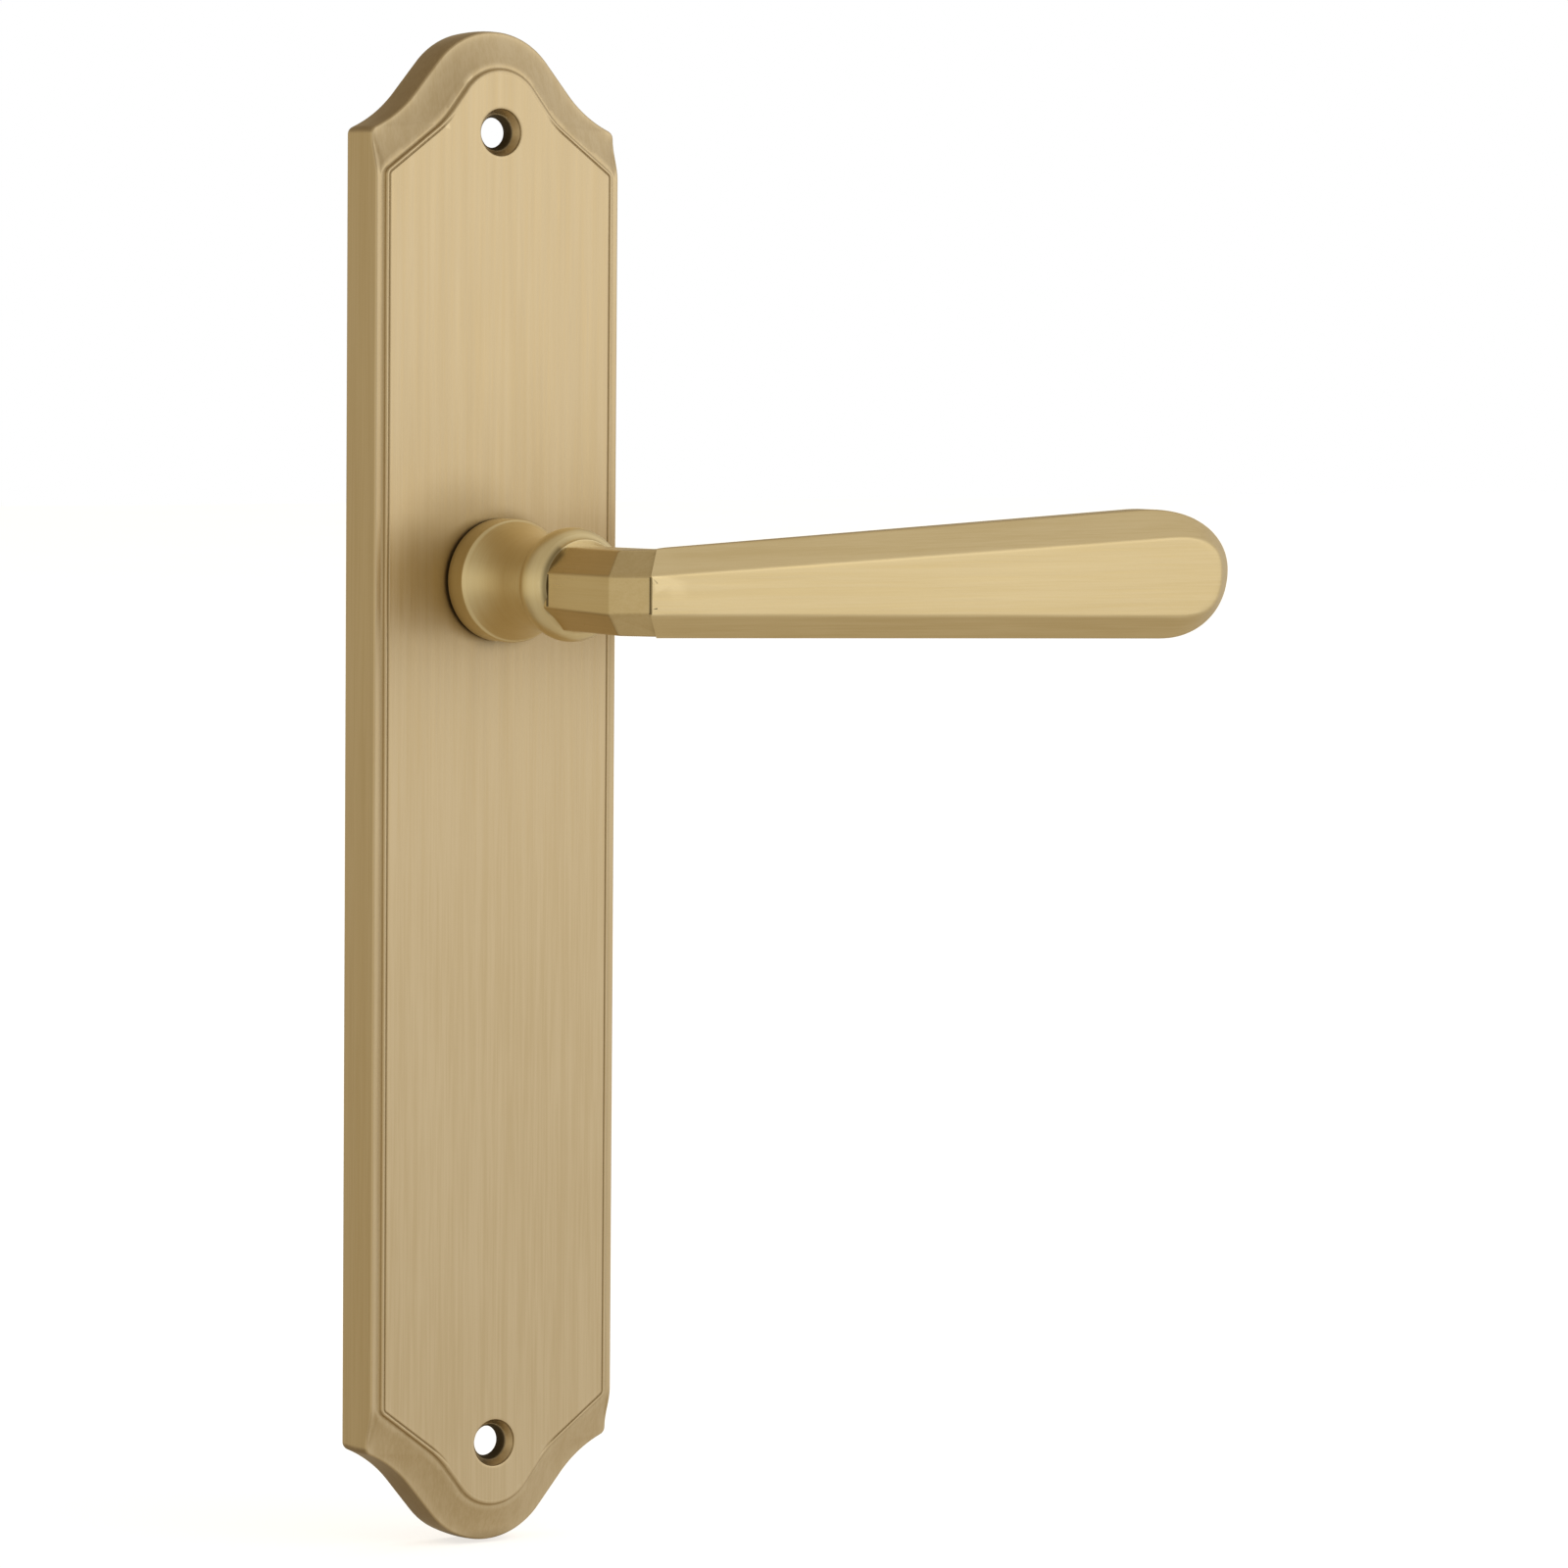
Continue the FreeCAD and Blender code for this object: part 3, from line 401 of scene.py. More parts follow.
plateShape = {
    "halfWidth": 22.5, "halfLength": 120.0, "middle": -33.5, "face": 9.86, "wall": 3.36,
    "sideEdge": 9.15, "shoulderEdge": 7.6, "archEdge": 7.4, "foot": 95.6, "shoulderRun": 96.9,
    "outer": {"arch": 13.1, "archAngle": 50, "straight": 6.6, "cove": 20.0, "coveAngle": 25,
              "corner": 1.5},
    "inner": {"arch": 7.2, "archAngle": 52, "straight": 4.6, "cove": 16.0, "coveAngle": 36.5,
              "corner": 0.9},
    "insetSide": 2.1, "insetEnd": 6.55, "hollowInset": 1.5,
    # outer wall, gently crowned: (distance in from the outline, depth from the door)
    "wallCrown": [(0.45, 0.0), (0.25, 0.1), (0.18, 0.35), (0.11, 1.2), (0.04, 2.5), (0.0, 3.9),
                  (0.01, 4.8), (0.05, 5.8), (0.10, 6.5)],
    # soft outer edge: (distance in from the outline, drop below the edge height)
    "edgeRound": [(0.15, 0.36), (0.18, 0.24), (0.23, 0.13), (0.31, 0.05), (0.40, 0.01), (0.50, 0.0)],
    # moulding between border and panel: (distance out from the panel, drop below the face, and the
    # same on the arch, where the fine groove runs out)
    "moulding": [(1.10, 0.70, 0.66), (0.86, 0.72, 0.68), (0.68, 0.70, 0.64), (0.56, 0.62, 0.54),
                 (0.48, 0.46, 0.42), (0.43, 0.26, 0.28), (0.37, 0.09, 0.15), (0.27, 0.01, 0.06),
                 (0.12, 0.0, 0.02), (-0.02, 0.04, 0.0), (-0.10, 0.17, 0.0), (-0.18, 0.17, 0.01),
                 (-0.26, 0.03, 0.01), (-0.38, -0.01, 0.0), (-0.52, 0.0, 0.0), (-0.9, 0.0, 0.0),
                 (-1.3, 0.0, 0.0)],
    "borderRise": 1.25, "borderShares": (0.12, 0.25, 0.38, 0.5, 0.62, 0.74, 0.86),
    "screwSpacing": 208.0, "screwHole": 2.6, "screwHoleBack": 2.36,
    "sink": 3.7, "sinkDepth": 1.5, "sinkLip": 0.3,
    "seat": 17.55, "seatFloor": 7.7, "bore": 8.5,
    "bossHeight": 21.5, "boss": 3.4, "bossTop": 2.3, "tapped": 1.45, "tappedDeep": 5.0,
}


def endPoints(wide, tall, arch, archAngle, straight, cove, coveAngle, corner, offset, outer):
    # right half of one bell-shaped end, from the straight side up to the apex: (x, z, place), where
    # place is 0 on the side, 1 on the shoulder and 2 on the arch
    wide, tall, arch, cove = wide + offset, tall + offset, arch + offset, cove - offset
    corner = max(corner + offset, 0.4)
    a, b = math.radians(archAngle), math.radians(coveAngle)
    archEnd = Vector((arch * math.sin(a), tall - arch + arch * math.cos(a)))
    coveStart = archEnd + Vector((math.cos(a), -math.sin(a))) * straight
    centre = coveStart + Vector((math.sin(a), math.cos(a))) * cove
    coveEnd = centre - Vector((math.sin(b), math.cos(b))) * cove
    down = Vector((math.cos(b), -math.sin(b)))
    tip = coveEnd + down * ((wide - coveEnd.x) / down.x)
    tangent = corner * math.tan((math.pi / 2 - b) / 2)
    cornerStart, cornerEnd = tip - down * tangent, tip - Vector((0, tangent))
    middle = cornerEnd - Vector((corner, 0))
    foot, knee = Vector((wide, plateShape["foot"])), Vector((wide, plateShape["shoulderRun"]))

    def run(start, end, count):
        return [start.lerp(end, i / count) for i in range(count)]

    def bend(centre, radius, start, end, count):
        turns = (start + (end - start) * i / count for i in range(count))
        return [centre + Vector((math.cos(turn), math.sin(turn))) * radius for turn in turns]

    quarter = math.pi / 2
    turned = bend(middle, corner, 0.0, quarter - b, 8)
    if outer:
        rise = [t * t * (3 - 2 * t) for t in (i / 8 for i in range(8))]
        points = run(foot, knee, 4) + run(knee, cornerEnd, 8) + turned + run(cornerStart, coveEnd, 4)
        places = [0.0] * 4 + rise + [1.0] * 12
    else:
        # the panel's corner lies opposite the border's slope, so its long flank takes the rest
        share = cornerStart.lerp(coveEnd, 0.4)
        points = run(foot, cornerEnd, 4) + turned
        points += run(cornerStart, share, 8) + run(share, coveEnd, 4)
        places = [0.0] * 24
    points += bend(centre, cove, -quarter - b, -quarter - a, 16) + run(coveStart, archEnd, 3)
    points += bend(Vector((0.0, tall - arch)), arch, quarter - a, quarter, 20)
    places += [1.0 + i / 16 for i in range(16)] + [2.0] * 23
    return [(p.x, p.y, place) for p, place in zip(points, places)] + [(0.0, tall, 2.0)]


def plateRing(shape, inset, offset, side, shoulder, arch):
    wide = plateShape["halfWidth"] - inset[0]
    tall = plateShape["halfLength"] - inset[1]
    quarter = endPoints(wide, tall, offset=offset, outer=inset[1] == 0.0, **shape)
    lifted = []
    for x, z, place in quarter:
        depth = side + (shoulder - side) * min(place, 1.0)
        depth += (arch - shoulder) * max(place - 1.0, 0.0)
        lifted.append((x, depth, z))
    half = lifted + [(-x, d, z) for x, d, z in reversed(lifted[:-1])]
    whole = half + [(-x, d, -z) for x, d, z in half]
    return [Vector((x, -d, z + plateShape["middle"])) for x, d, z in whole]


def makeBackplate():
    s = plateShape
    outerInset, innerInset = (0.0, 0.0), (s["insetSide"], s["insetEnd"])
    bm = bmesh.new()
    rings = []
    for inward, depth in s["wallCrown"]:
        rings.append(ringOf(bm, plateRing(s["outer"], outerInset, -inward, depth, depth, depth)))
    for inward, drop in s["edgeRound"]:
        depths = [s[k] - drop for k in ("sideEdge", "shoulderEdge", "archEdge")]
        rings.append(ringOf(bm, plateRing(s["outer"], outerInset, -inward, *depths)))
    # the border curves up, hollow, from the outer edge to the moulding
    outside = plateRing(s["outer"], outerInset, -s["edgeRound"][-1][0],
                        s["sideEdge"], s["shoulderEdge"], s["archEdge"])
    outward, *drops = s["moulding"][0]
    foot, archFoot = (s["face"] - drop for drop in drops)
    inside = plateRing(s["inner"], innerInset, outward, foot, foot, archFoot)
    for share in s["borderShares"]:
        lift = share ** s["borderRise"]
        rings.append(ringOf(bm, [
            Vector((a.x + (b.x - a.x) * share, a.y + (b.y - a.y) * lift, a.z + (b.z - a.z) * share))
            for a, b in zip(outside, inside)]))
    for outward, *drops in s["moulding"]:
        depth, archDepth = (s["face"] - drop for drop in drops)
        rings.append(ringOf(bm, plateRing(s["inner"], innerInset, outward, depth, depth, archDepth)))
    loft(bm, rings)
    face, floor, inset = s["face"], s["face"] - s["wall"], s["hollowInset"]
    hollow = [ringOf(bm, plateRing(s["inner"], innerInset, -inward, d, d, d)) for inward, d in
              ((inset - 0.25, 0.0), (inset - 0.05, 0.08), (inset, 0.3), (inset, floor - 0.5),
               (inset + 0.12, floor - 0.14), (inset + 0.5, floor))]
    loft(bm, [rings[0]] + hollow)
    frontLoops, floorLoops = [rings[-1]], [hollow[-1]]

    def bore(profile, height, count, through=True):
        # a hole lofted through the profile, which starts at the floor of the hollow
        loops = [ringOf(bm, circle(radius, depth, height, count)) for radius, depth in profile]
        loft(bm, loops)
        floorLoops.append(loops[0])
        if through:
            frontLoops.append(loops[-1])
        else:
            bm.faces.new(loops[-1])

    hole, back, sink = s["screwHole"], s["screwHoleBack"], s["sink"]
    cone = face - s["sinkLip"] - s["sinkDepth"]
    boss, top, tapped = s["boss"], s["bossTop"], s["tapped"]
    for sign in (1, -1):
        bore([(back + 0.2, floor), (back + 0.03, floor + 0.06), (back, floor + 0.25),
              (back + 0.03, floor + 0.8), (hole, cone - 0.1), (hole + 0.05, cone),
              (sink - 0.06, face - 0.36), (sink, face - 0.26), (sink, face - 0.12),
              (sink + 0.04, face - 0.03), (sink + 0.14, face), (sink + 0.5, face),
              (sink + 0.9, face)],
             s["middle"] + sign * s["screwSpacing"] / 2, 72)
        bore([(boss + 0.4, floor), (boss + 0.1, floor - 0.12), (boss, floor - 0.45), (boss, top + 0.2),
              (boss - 0.2, top), (tapped + 0.2, top), (tapped, top + 0.2),
              (tapped, top + s["tappedDeep"])],
             sign * s["bossHeight"], 48, through=False)
    seat, seatFloor, wide = s["seat"], s["seatFloor"], s["bore"]
    bore([(seat + 0.2, floor), (seat, floor + 0.2), (seat, seatFloor), (wide + 0.1, seatFloor),
          (wide, seatFloor + 0.1), (wide, face - 0.15), (wide + 0.15, face), (wide + 0.5, face),
          (wide + 0.9, face)], 0.0, 128)
    fill(bm, *frontLoops)
    fill(bm, *floorLoops)
    return shown("backplateCasting", bm, plateBrass, "plate", "plate_brass", ["backplate"], 50.0)


makeBackplate()
print("backplate made")


neckShape = {
    "shank": 7.0, "groove": 6.4, "base": 9.74, "baseAt": 10.35, "band": 4.6, "rim": 9.4,
    "waist": 7.4, "waistAt": 23.0, "coveRadius": 19.0, "ringBack": 29.1, "ringFront": 34.2,
    "ring": 8.92, "ringFoot": 7.95, "front": 35.5, "end": 7.15, "pocket": 33.6,
    # flats that drive the hub, the square bore, the grub screw's hole and the circlip's groove
    "flatApart": 6.2, "flatDeep": (-6.85, 0.25), "square": 8.1, "squareDeep": (-24.0, 0.2),
    "grub": 2.0, "grubAt": 12.4, "grubRun": (-11.0, -3.0),
    "clipGroove": (0.35, 1.15), "clipOutside": 9.0,
}


def arcRun(start, end, radius, hollow, count):
    # points from start to end, both as radius and depth, along an arc that bulges outwards, or
    # inwards if hollow
    a, b = Vector(start), Vector(end)
    chord = b - a
    reach = math.sqrt(max(radius ** 2 - chord.length ** 2 / 4, 0.0))
    outward = Vector((chord.y, -chord.x)).normalized()
    if outward.x < 0:
        outward = -outward
    centre = (a + b) / 2 - outward * reach * (-1 if hollow else 1)
    first = math.atan2(a.y - centre.y, a.x - centre.x)
    turn = math.atan2(b.y - centre.y, b.x - centre.x) - first
    turn = (turn + math.pi) % (2 * math.pi) - math.pi
    return [(centre.x + radius * math.cos(first + turn * i / count),
             centre.y + radius * math.sin(first + turn * i / count)) for i in range(count + 1)]


def neckProfile():
    s = neckShape
    shoulder = s["ringFoot"]
    half, crown = (s["ringFront"] - s["ringBack"]) / 2, s["ring"] - shoulder
    crest = (half ** 2 + crown ** 2) / (2 * crown)
    base, at, end = s["base"], s["baseAt"], s["baseAt"] + s["band"]
    rim, waist = (s["rim"], end), (s["waist"], s["waistAt"])
    ringBack, ringFront = (shoulder, s["ringBack"]), (shoulder, s["ringFront"])
    profile = [(s["shank"] - 0.3, 0.2), (s["shank"], 0.35), (s["shank"], at - 0.01)]
    profile += [(base - 0.24, at), (base - 0.1, at + 0.03), (base - 0.03, at + 0.1)]
    profile += [(base, at + 0.24)]
    profile += [(base, end - 0.55), (base - 0.04, end - 0.32), (base - 0.16, end - 0.13), rim]
    profile += arcRun(rim, waist, s["coveRadius"], True, 26)[1:]
    profile += arcRun((s["waist"], s["ringBack"] - 0.7), ringBack, 0.9, True, 8)
    profile += arcRun(ringBack, ringFront, crest, False, 30)[1:]
    profile += arcRun(ringFront, (s["end"], s["front"] - 0.08), 1.9, True, 12)[1:]
    profile += [(s["end"] - 0.1, s["front"])]
    return profile


def makeNeck():
    s = neckShape
    neck = solid("leverNeck", lathe(neckProfile()))
    (flatLow, flatHigh), (squareLow, squareHigh) = s["flatDeep"], s["squareDeep"]
    tools = [boxSolid("flat", (side * (s["flatApart"] + 1.0), (flatLow + flatHigh) / 2, 0.0),
                      (2.0, flatHigh - flatLow, 20.0)) for side in (1, -1)]
    tools.append(boxSolid("socket", (0.0, (squareLow + squareHigh) / 2, 0.0),
                          (s["square"], squareHigh - squareLow, s["square"])))
    bm = bmesh.new()
    turns = [math.pi * i / 24 for i in range(48)]
    rings = [ringOf(bm, [Vector((s["grub"] * math.cos(turn),
                                 s["grub"] * math.sin(turn) - s["grubAt"], z)) for turn in turns])
             for z in s["grubRun"]]
    loft(bm, rings)
    for end in rings:
        bm.faces.new(end)
    tools.append(solid("grubHole", bm))
    bm = bmesh.new()
    (back, front), outside, root = s["clipGroove"], s["clipOutside"], s["groove"]
    loops = [ringOf(bm, circle(r, d, count=96)) for r, d in
             ((root, back), (outside, back), (outside, front), (root, front))]
    loft(bm, loops + loops[:1])
    tools.append(solid("groove", bm))
    neck = joinSolids(neck, tools, "DIFFERENCE")
    return dress(neck, neckBrass, "lever", "neck_brass", ["lever_neck"], 40.0)


makeNeck()
print("neck made")


leverShape = {
    "half": 6.9, "depth": 10.4, "bevel": 2.9, "bend": 53.5, "cut": 4.67, "relief": 0.3,
    "reach": 109.7, "faceReach": 106.4, "soft": 0.42,
    "collar": {"low": -7.0, "faceLow": -3.4, "faceHigh": 2.05, "high": 6.0},
    "elbow": {"low": -7.1, "faceLow": -3.85, "faceHigh": 2.05, "high": 6.05},
    "grip": {"low": -7.4, "faceLow": -3.8, "faceHigh": 2.2, "high": 6.35},
    "collarBevel": 3.8, "elbowBevel": 2.4, "gripShrink": 0.975,
    # the plug that goes into the neck, as (radius, depth) points
    "tenon": [(4.5, 26.0), (4.88, 26.4), (4.88, 36.0)],
    # rounded end of the grip: where the straight sides stop, and how the curve leaves and meets them
    "outline": {"topEnd": (92.0, 11.5), "topPull": 11.5, "lowEnd": (96.5, -9.15), "lowPull": 7.8,
                "tip": 1.7, "riseUp": 5.5, "riseDown": 6.3},
    "face": {"topEnd": (97.0, 7.1), "topPull": 6.5, "lowEnd": (97.5, -5.6), "lowPull": 7.1,
             "tip": 1.8, "riseUp": 3.8, "riseDown": 5.2},
}


def bezierRun(a, b, c, d, count):
    return [a * (1 - t) ** 3 + b * 3 * t * (1 - t) ** 2 + c * 3 * t * t * (1 - t) + d * t ** 3
            for t in (i / count for i in range(count))]


def gripOutline(depth, start, low, high, tip, reach, inset=0.0):
    # closed outline of the grip at one depth, counter-clockwise seen from the front
    lowStart, highStart = Vector((start, low)), Vector((start, high))
    topEnd, lowEnd = Vector(tip["topEnd"]), Vector(tip["lowEnd"])
    nose = Vector((reach, tip["tip"]))
    along = (topEnd - highStart).normalized()
    back = (lowEnd - lowStart).normalized()
    points = [lowStart.lerp(lowEnd, i / 24) for i in range(24)]
    points += bezierRun(lowEnd, lowEnd + back * tip["lowPull"],
                        nose - Vector((0, tip["riseDown"])), nose, 26)
    points += bezierRun(nose, nose + Vector((0, tip["riseUp"])),
                        topEnd + along * tip["topPull"], topEnd, 26)
    points += [topEnd.lerp(highStart, i / 24) for i in range(24)]
    points += [highStart.lerp(lowStart, i / 6) for i in range(6)]
    if inset:
        count = len(points)
        moved = []
        for i, p in enumerate(points):
            before = (p - points[i - 1]).normalized()
            after = (points[(i + 1) % count] - p).normalized()
            across = (Vector((-before.y, before.x)) + Vector((-after.y, after.x))).normalized()
            lean = max(across.dot(Vector((-after.y, after.x))), 0.5)
            moved.append(p + across * inset / lean)
        points = moved
    return [Vector((p.x, -depth, p.y)) for p in points]


def makeGripSolid():
    s = leverShape
    g = s["grip"]
    front = s["bend"] + s["cut"] + s["relief"]
    start = s["cut"] - s["half"] - s["relief"]
    bevel, deep, soft = s["bevel"], s["depth"], s["soft"]

    def facePlane(depth, begin, inset=0.0):
        return gripOutline(depth, begin, g["faceLow"], g["faceHigh"], s["face"], s["faceReach"],
                           inset)

    def sidePlane(depth, begin):
        return gripOutline(depth, begin, g["low"], g["high"], s["outline"], s["reach"])

    rows = [facePlane(front, start, 1.2), facePlane(front, start),
            sidePlane(front - bevel, start + bevel),
            sidePlane(front - deep + bevel, start + deep - bevel),
            facePlane(front - deep, start + deep), facePlane(front - deep, start + deep, 1.2)]
    columns = []
    for i in range(len(rows[0])):
        path = [row[i] for row in rows]
        column = [path[0]]
        for before, corner, after in zip(path, path[1:], path[2:]):
            column += rounded(before, corner, after, soft)
        columns.append(column + [path[-1]])
    bm = bmesh.new()
    rings = [ringOf(bm, [column[k] for column in columns]) for k in range(len(columns[0]))]
    loft(bm, rings)
    fill(bm, rings[0])
    fill(bm, rings[-1])
    return solid("gripSolid", bm)


def octagonPoints(place, deep, bevel, low, faceLow, faceHigh, high):
    corners = [(0, faceLow), (0, faceHigh), (bevel, high), (deep - bevel, high), (deep, faceHigh),
               (deep, faceLow), (deep - bevel, low), (bevel, low)]
    corners = [Vector((a, b)) for a, b in corners]
    softened = []
    for i, corner in enumerate(corners):
        softened += rounded(corners[i - 1], corner, corners[(i + 1) % 8], leverShape["soft"], 4)
    return [place(p.x, p.y) for p in softened]


def makeBarSolid():
    s = leverShape
    half, deep, bevel = s["half"], s["depth"], s["bevel"]
    mitre = math.tan(math.radians(22.5))
    start = s["cut"] - half
    shrunk = {key: value * s["gripShrink"] for key, value in s["grip"].items()}
    rows = [
        octagonPoints(lambda d, z: Vector((d - half, -neckShape["pocket"], z)),
                      2 * half, s["collarBevel"], **s["collar"]),
        octagonPoints(lambda d, z: Vector((d - half, d * mitre - s["bend"], z)),
                      2 * half, s["elbowBevel"], **s["elbow"]),
        octagonPoints(lambda d, z: Vector((start + d, d - s["bend"] - s["cut"], z)),
                      deep - s["relief"], bevel, **shrunk),
    ]
    bm = bmesh.new()
    columns = [[a] + rounded(a, b, c, s["soft"]) + [c] for a, b, c in zip(*rows)]
    rings = [ringOf(bm, [column[k] for column in columns]) for k in range(len(columns[0]))]
    loft(bm, rings)
    fill(bm, rings[0])
    fill(bm, rings[-1])
    return solid("leverGrip", bm)


def makeLever():
    tenon = solid("tenon", lathe(leverShape["tenon"], 64))
    lever = joinSolids(makeBarSolid(), [makeGripSolid(), tenon], "UNION")
    return dress(lever, gripBrass, "lever", "lever_brass", ["lever_grip"], 24.0)


makeLever()
print("lever made")


bushShape = {"bore": 7.05, "outside": 8.46, "flange": 9.4, "back": 7.7, "face": 9.86, "front": 10.3}


def makeBush():
    bore, outside, flange, back, face, front = bushShape.values()
    profile = [(bore + 0.2, back), (outside - 0.16, back), (outside, back + 0.2), (outside, face),
               (flange - 0.05, face), (flange, face + 0.08), (flange, front - 0.16),
               (flange - 0.14, front), (bore + 0.2, front), (bore, front - 0.2), (bore, back + 0.2)]
    bm = bmesh.new()
    rings = [ringOf(bm, circle(r, d, count=128)) for r, d in profile]
    loft(bm, rings + rings[:1])
    return shown("bearingBush", bm, bushNylon, "plate", "bush_nylon", ["bearing_bush"], 40.0)


makeBush()
print("bush made")


# node: object name, material, body, slot and width of the softened edges
softEdges = {
    "spindle": ("spindleBar", spindleSteel, "lever", "spindle_steel", 0.12),
    "grub_screw": ("grubScrew", blackSteel, "lever", "black_steel", 0.10),
    "spring_housing": ("springHousing", zincSteel, "plate", "zinc_steel", 0.10),
    "stop_pins": ("stopPins", driveSteel, "plate", "drive_steel", 0.15),
    "thrust_washer": ("thrustWasher", whiteAcetal, "plate", "white_nylon", 0.08),
    "drive_hub": ("driveHub", driveSteel, "lever", "drive_steel", 0.12),
    "return_spring": ("returnSpring", springSteel, "plate", "spring_steel", 0.05),
    "cassette_cover": ("cassetteCover", zincSteel, "plate", "zinc_steel", 0.14),
    "cassette_screws": ("cassetteScrews", zincSteel, "plate", "zinc_steel", 0.16),
    "shim_washer": ("shimWasher", zincSteel, "lever", "zinc_steel", 0.06),
    "circlip": ("circlipRing", blackSteel, "lever", "black_steel", 0.10),
}


def softenNode(node, name, material, body, slot, width):
    bm = bmesh.new()
    bm.from_mesh(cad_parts[node].data)
    bmesh.ops.remove_doubles(bm, verts=bm.verts, dist=2e-7)
    bmesh.ops.dissolve_limit(bm, angle_limit=math.radians(0.6), verts=bm.verts, edges=bm.edges)
    bmesh.ops.recalc_face_normals(bm, faces=bm.faces)
    thing = solid(name, bm)
    bevel = thing.modifiers.new("SoftEdges", "BEVEL")
    bevel.width, bevel.segments, bevel.limit_method = width * mm, 3, "ANGLE"
    bevel.angle_limit = math.radians(40)
    return dress(thing, material, body, slot, [node], 40.0)


for node, recipe in softEdges.items():
    softenNode(node, *recipe)
print("cassette pieces made")


studio = {
    "floorUnder": 0.4, "floorSize": 11.0, "floorGlow": 0.72, "floorRough": 0.75,
    "floorTones": ((0.90, 0.90, 0.895), (0.93, 0.93, 0.925)),
    "key": {"at": (0.62, -0.95, 0.20), "aim": (0.03, -0.03, -0.03), "size": (0.55, 0.55),
            "power": 0.72, "tint": (0.95, 0.975, 1.0)},
    "backdrop": (1.0, 1.0, 1.0), "tentRadius": 9.0, "keySide": (0.75, -0.66, 0.05),
    "tentPale": (0.765, 0.76, 0.78), "tentSide": (0.72, 0.68, 0.595), "tentGap": (0.65, 0.61, 0.54),
    "tentBack": (0.59, 0.53, 0.40), "tentRoof": (0.22, 0.175, 0.12), "tentLow": (0.53, 0.475, 0.39),
    # where each part of the tent fades into the next, on a sphere of radius 1
    "paleRange": (0.22, 0.98), "gapRange": (-0.7, -0.1), "backRange": (0.25, 0.8),
    "steepRange": (0.12, 0.52), "roofRange": (-0.15, 0.45), "roofShare": 0.5,
    "lowRange": (0.15, 0.9), "lowSide": (-0.7, 0.1), "lowShare": 0.85,
    "azimuth": -33.630, "elevation": 3.637, "roll": 0.450, "distance": 1181.714, "aside": 50.554,
    "above": -32.848, "lens": 170.375,
}


def makeFloor():
    low = cadBox[0].z - studio["floorUnder"] * mm
    bm = bmesh.new()
    bmesh.ops.create_grid(bm, x_segments=2, y_segments=2, size=studio["floorSize"] / 2)
    floor = solid("studioFloor", bm)
    floor.location = (0, 0, low)
    paint = Paint("paleFloor")
    cloud = paint.noise(paint.place(), 6.0, 3.0, 0.5)
    colour = paint.mixColour(cloud, *studio["floorTones"])
    floor.data.materials.append(paint.surface(
        {"Specular IOR Level": 0.0, "Emission Strength": studio["floorGlow"]},
        **{"Base Color": colour, "Roughness": studio["floorRough"] + cloud * 0.1,
           "Emission Color": colour}))
    floor.visible_glossy = False


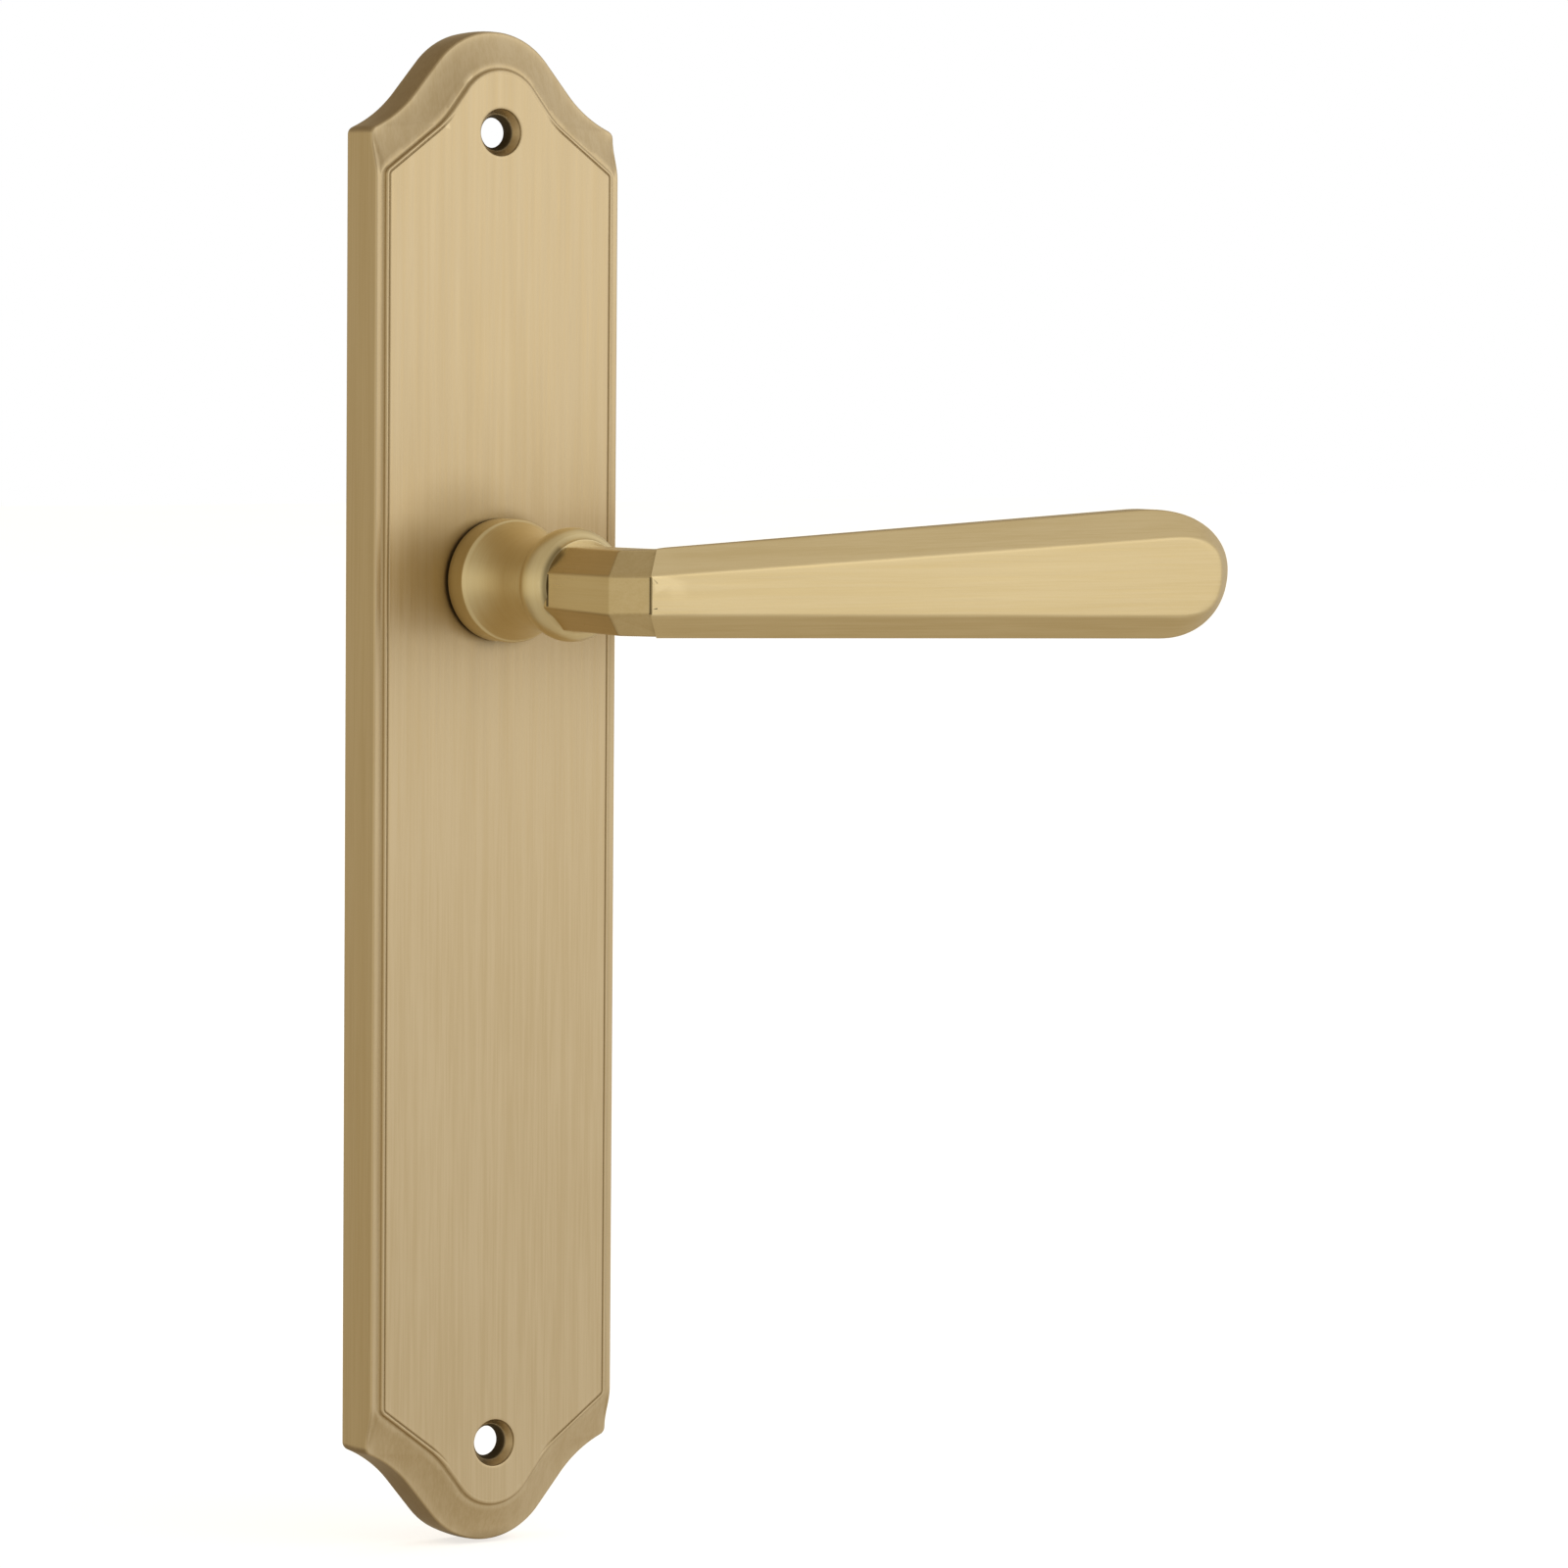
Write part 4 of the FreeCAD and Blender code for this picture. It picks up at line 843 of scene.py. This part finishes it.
def makeTent():
    # a light tent round the set: lights the brass and is mirrored in it, but isn't seen itself
    bm = bmesh.new()
    bmesh.ops.create_icosphere(bm, subdivisions=3, radius=studio["tentRadius"])
    tent = solid("lightTent", bm)
    s, paint = studio, Paint("tentCloth")
    toward = paint.node("ShaderNodeVectorMath", {"operation": "NORMALIZE"}, [paint.place()])
    x, y, z = paint.parts(toward)
    side = s["keySide"]
    facing = x * side[0] + y * side[1] + z * side[2]
    steep = paint.node("ShaderNodeMath", {"operation": "ABSOLUTE"}, [z]).ease(*s["steepRange"])
    back = paint.mixColour(steep, s["tentBack"], s["tentRoof"])
    front = paint.mixColour(x.ease(*s["gapRange"]), s["tentSide"], s["tentGap"])
    colour = paint.mixColour(y.ease(*s["backRange"]), front, back)
    roof = steep * s["roofShare"] * (1.0 - x.ease(*s["roofRange"]))
    colour = paint.mixColour(roof, colour, s["tentRoof"])
    colour = paint.mixColour(facing.ease(*s["paleRange"]), colour, s["tentPale"])
    low = (-z).ease(*s["lowRange"]) * facing.ease(*s["lowSide"]) * s["lowShare"]
    colour = paint.mixColour(low, colour, s["tentLow"])
    light = paint.node("ShaderNodeEmission", {}, {"Color": colour, "Strength": 1.0})
    paint.end("ShaderNodeOutputMaterial", light)
    tent.data.materials.append(paint.material)
    tent.visible_camera = False
    tent.visible_shadow = False


def makeLight(name, at, aim, size, power, tint):
    lamp = bpy.data.lights.new(name, "AREA")
    lamp.shape, lamp.size, lamp.size_y, lamp.energy = "RECTANGLE", size[0], size[1], power
    lamp.color = tint
    thing = bpy.data.objects.new(name, lamp)
    thing.location = at
    thing.rotation_euler = (Vector(aim) - Vector(at)).to_track_quat("-Z", "Y").to_euler()
    collection.objects.link(thing)


def makeSky():
    world = bpy.data.worlds.new("studioSky")
    bpy.context.scene.world = world
    sky = Paint("studioSky", world)
    light = sky.node("ShaderNodeBackground", {},
                     {"Color": (*studio["backdrop"], 1.0), "Strength": 1.0})
    for ray in ("diffuse", "glossy", "transmission"):
        setattr(world.cycles_visibility, ray, False)
    sky.end("ShaderNodeOutputWorld", light)


def makeCamera():
    s = studio
    a, e, r = (math.radians(s[k]) for k in ("azimuth", "elevation", "roll"))
    back = Vector((math.sin(a) * math.cos(e), -math.cos(a) * math.cos(e), math.sin(e)))
    right = (-back).cross(Vector((0, 0, 1))).normalized()
    up = right.cross(-back)
    across = right * math.cos(r) + up * math.sin(r)
    upright = up * math.cos(r) - right * math.sin(r)
    lens = bpy.data.cameras.new("studioCamera")
    lens.lens, lens.sensor_width = s["lens"], 36.0
    lens.clip_start, lens.clip_end = 0.05, 60.0
    camera = bpy.data.objects.new("studioCamera", lens)
    seat = (back * s["distance"] + across * s["aside"] + upright * s["above"]) * mm
    rows = [(across[i], upright[i], back[i], seat[i]) for i in range(3)]
    camera.matrix_world = Matrix(rows + [(0, 0, 0, 1)])
    collection.objects.link(camera)
    bpy.context.scene.camera = camera


makeFloor()
makeTent()
makeLight("keyLight", **studio["key"])
makeSky()
makeCamera()
bpy.context.scene.view_settings.view_transform = "Standard"
print("studio made")
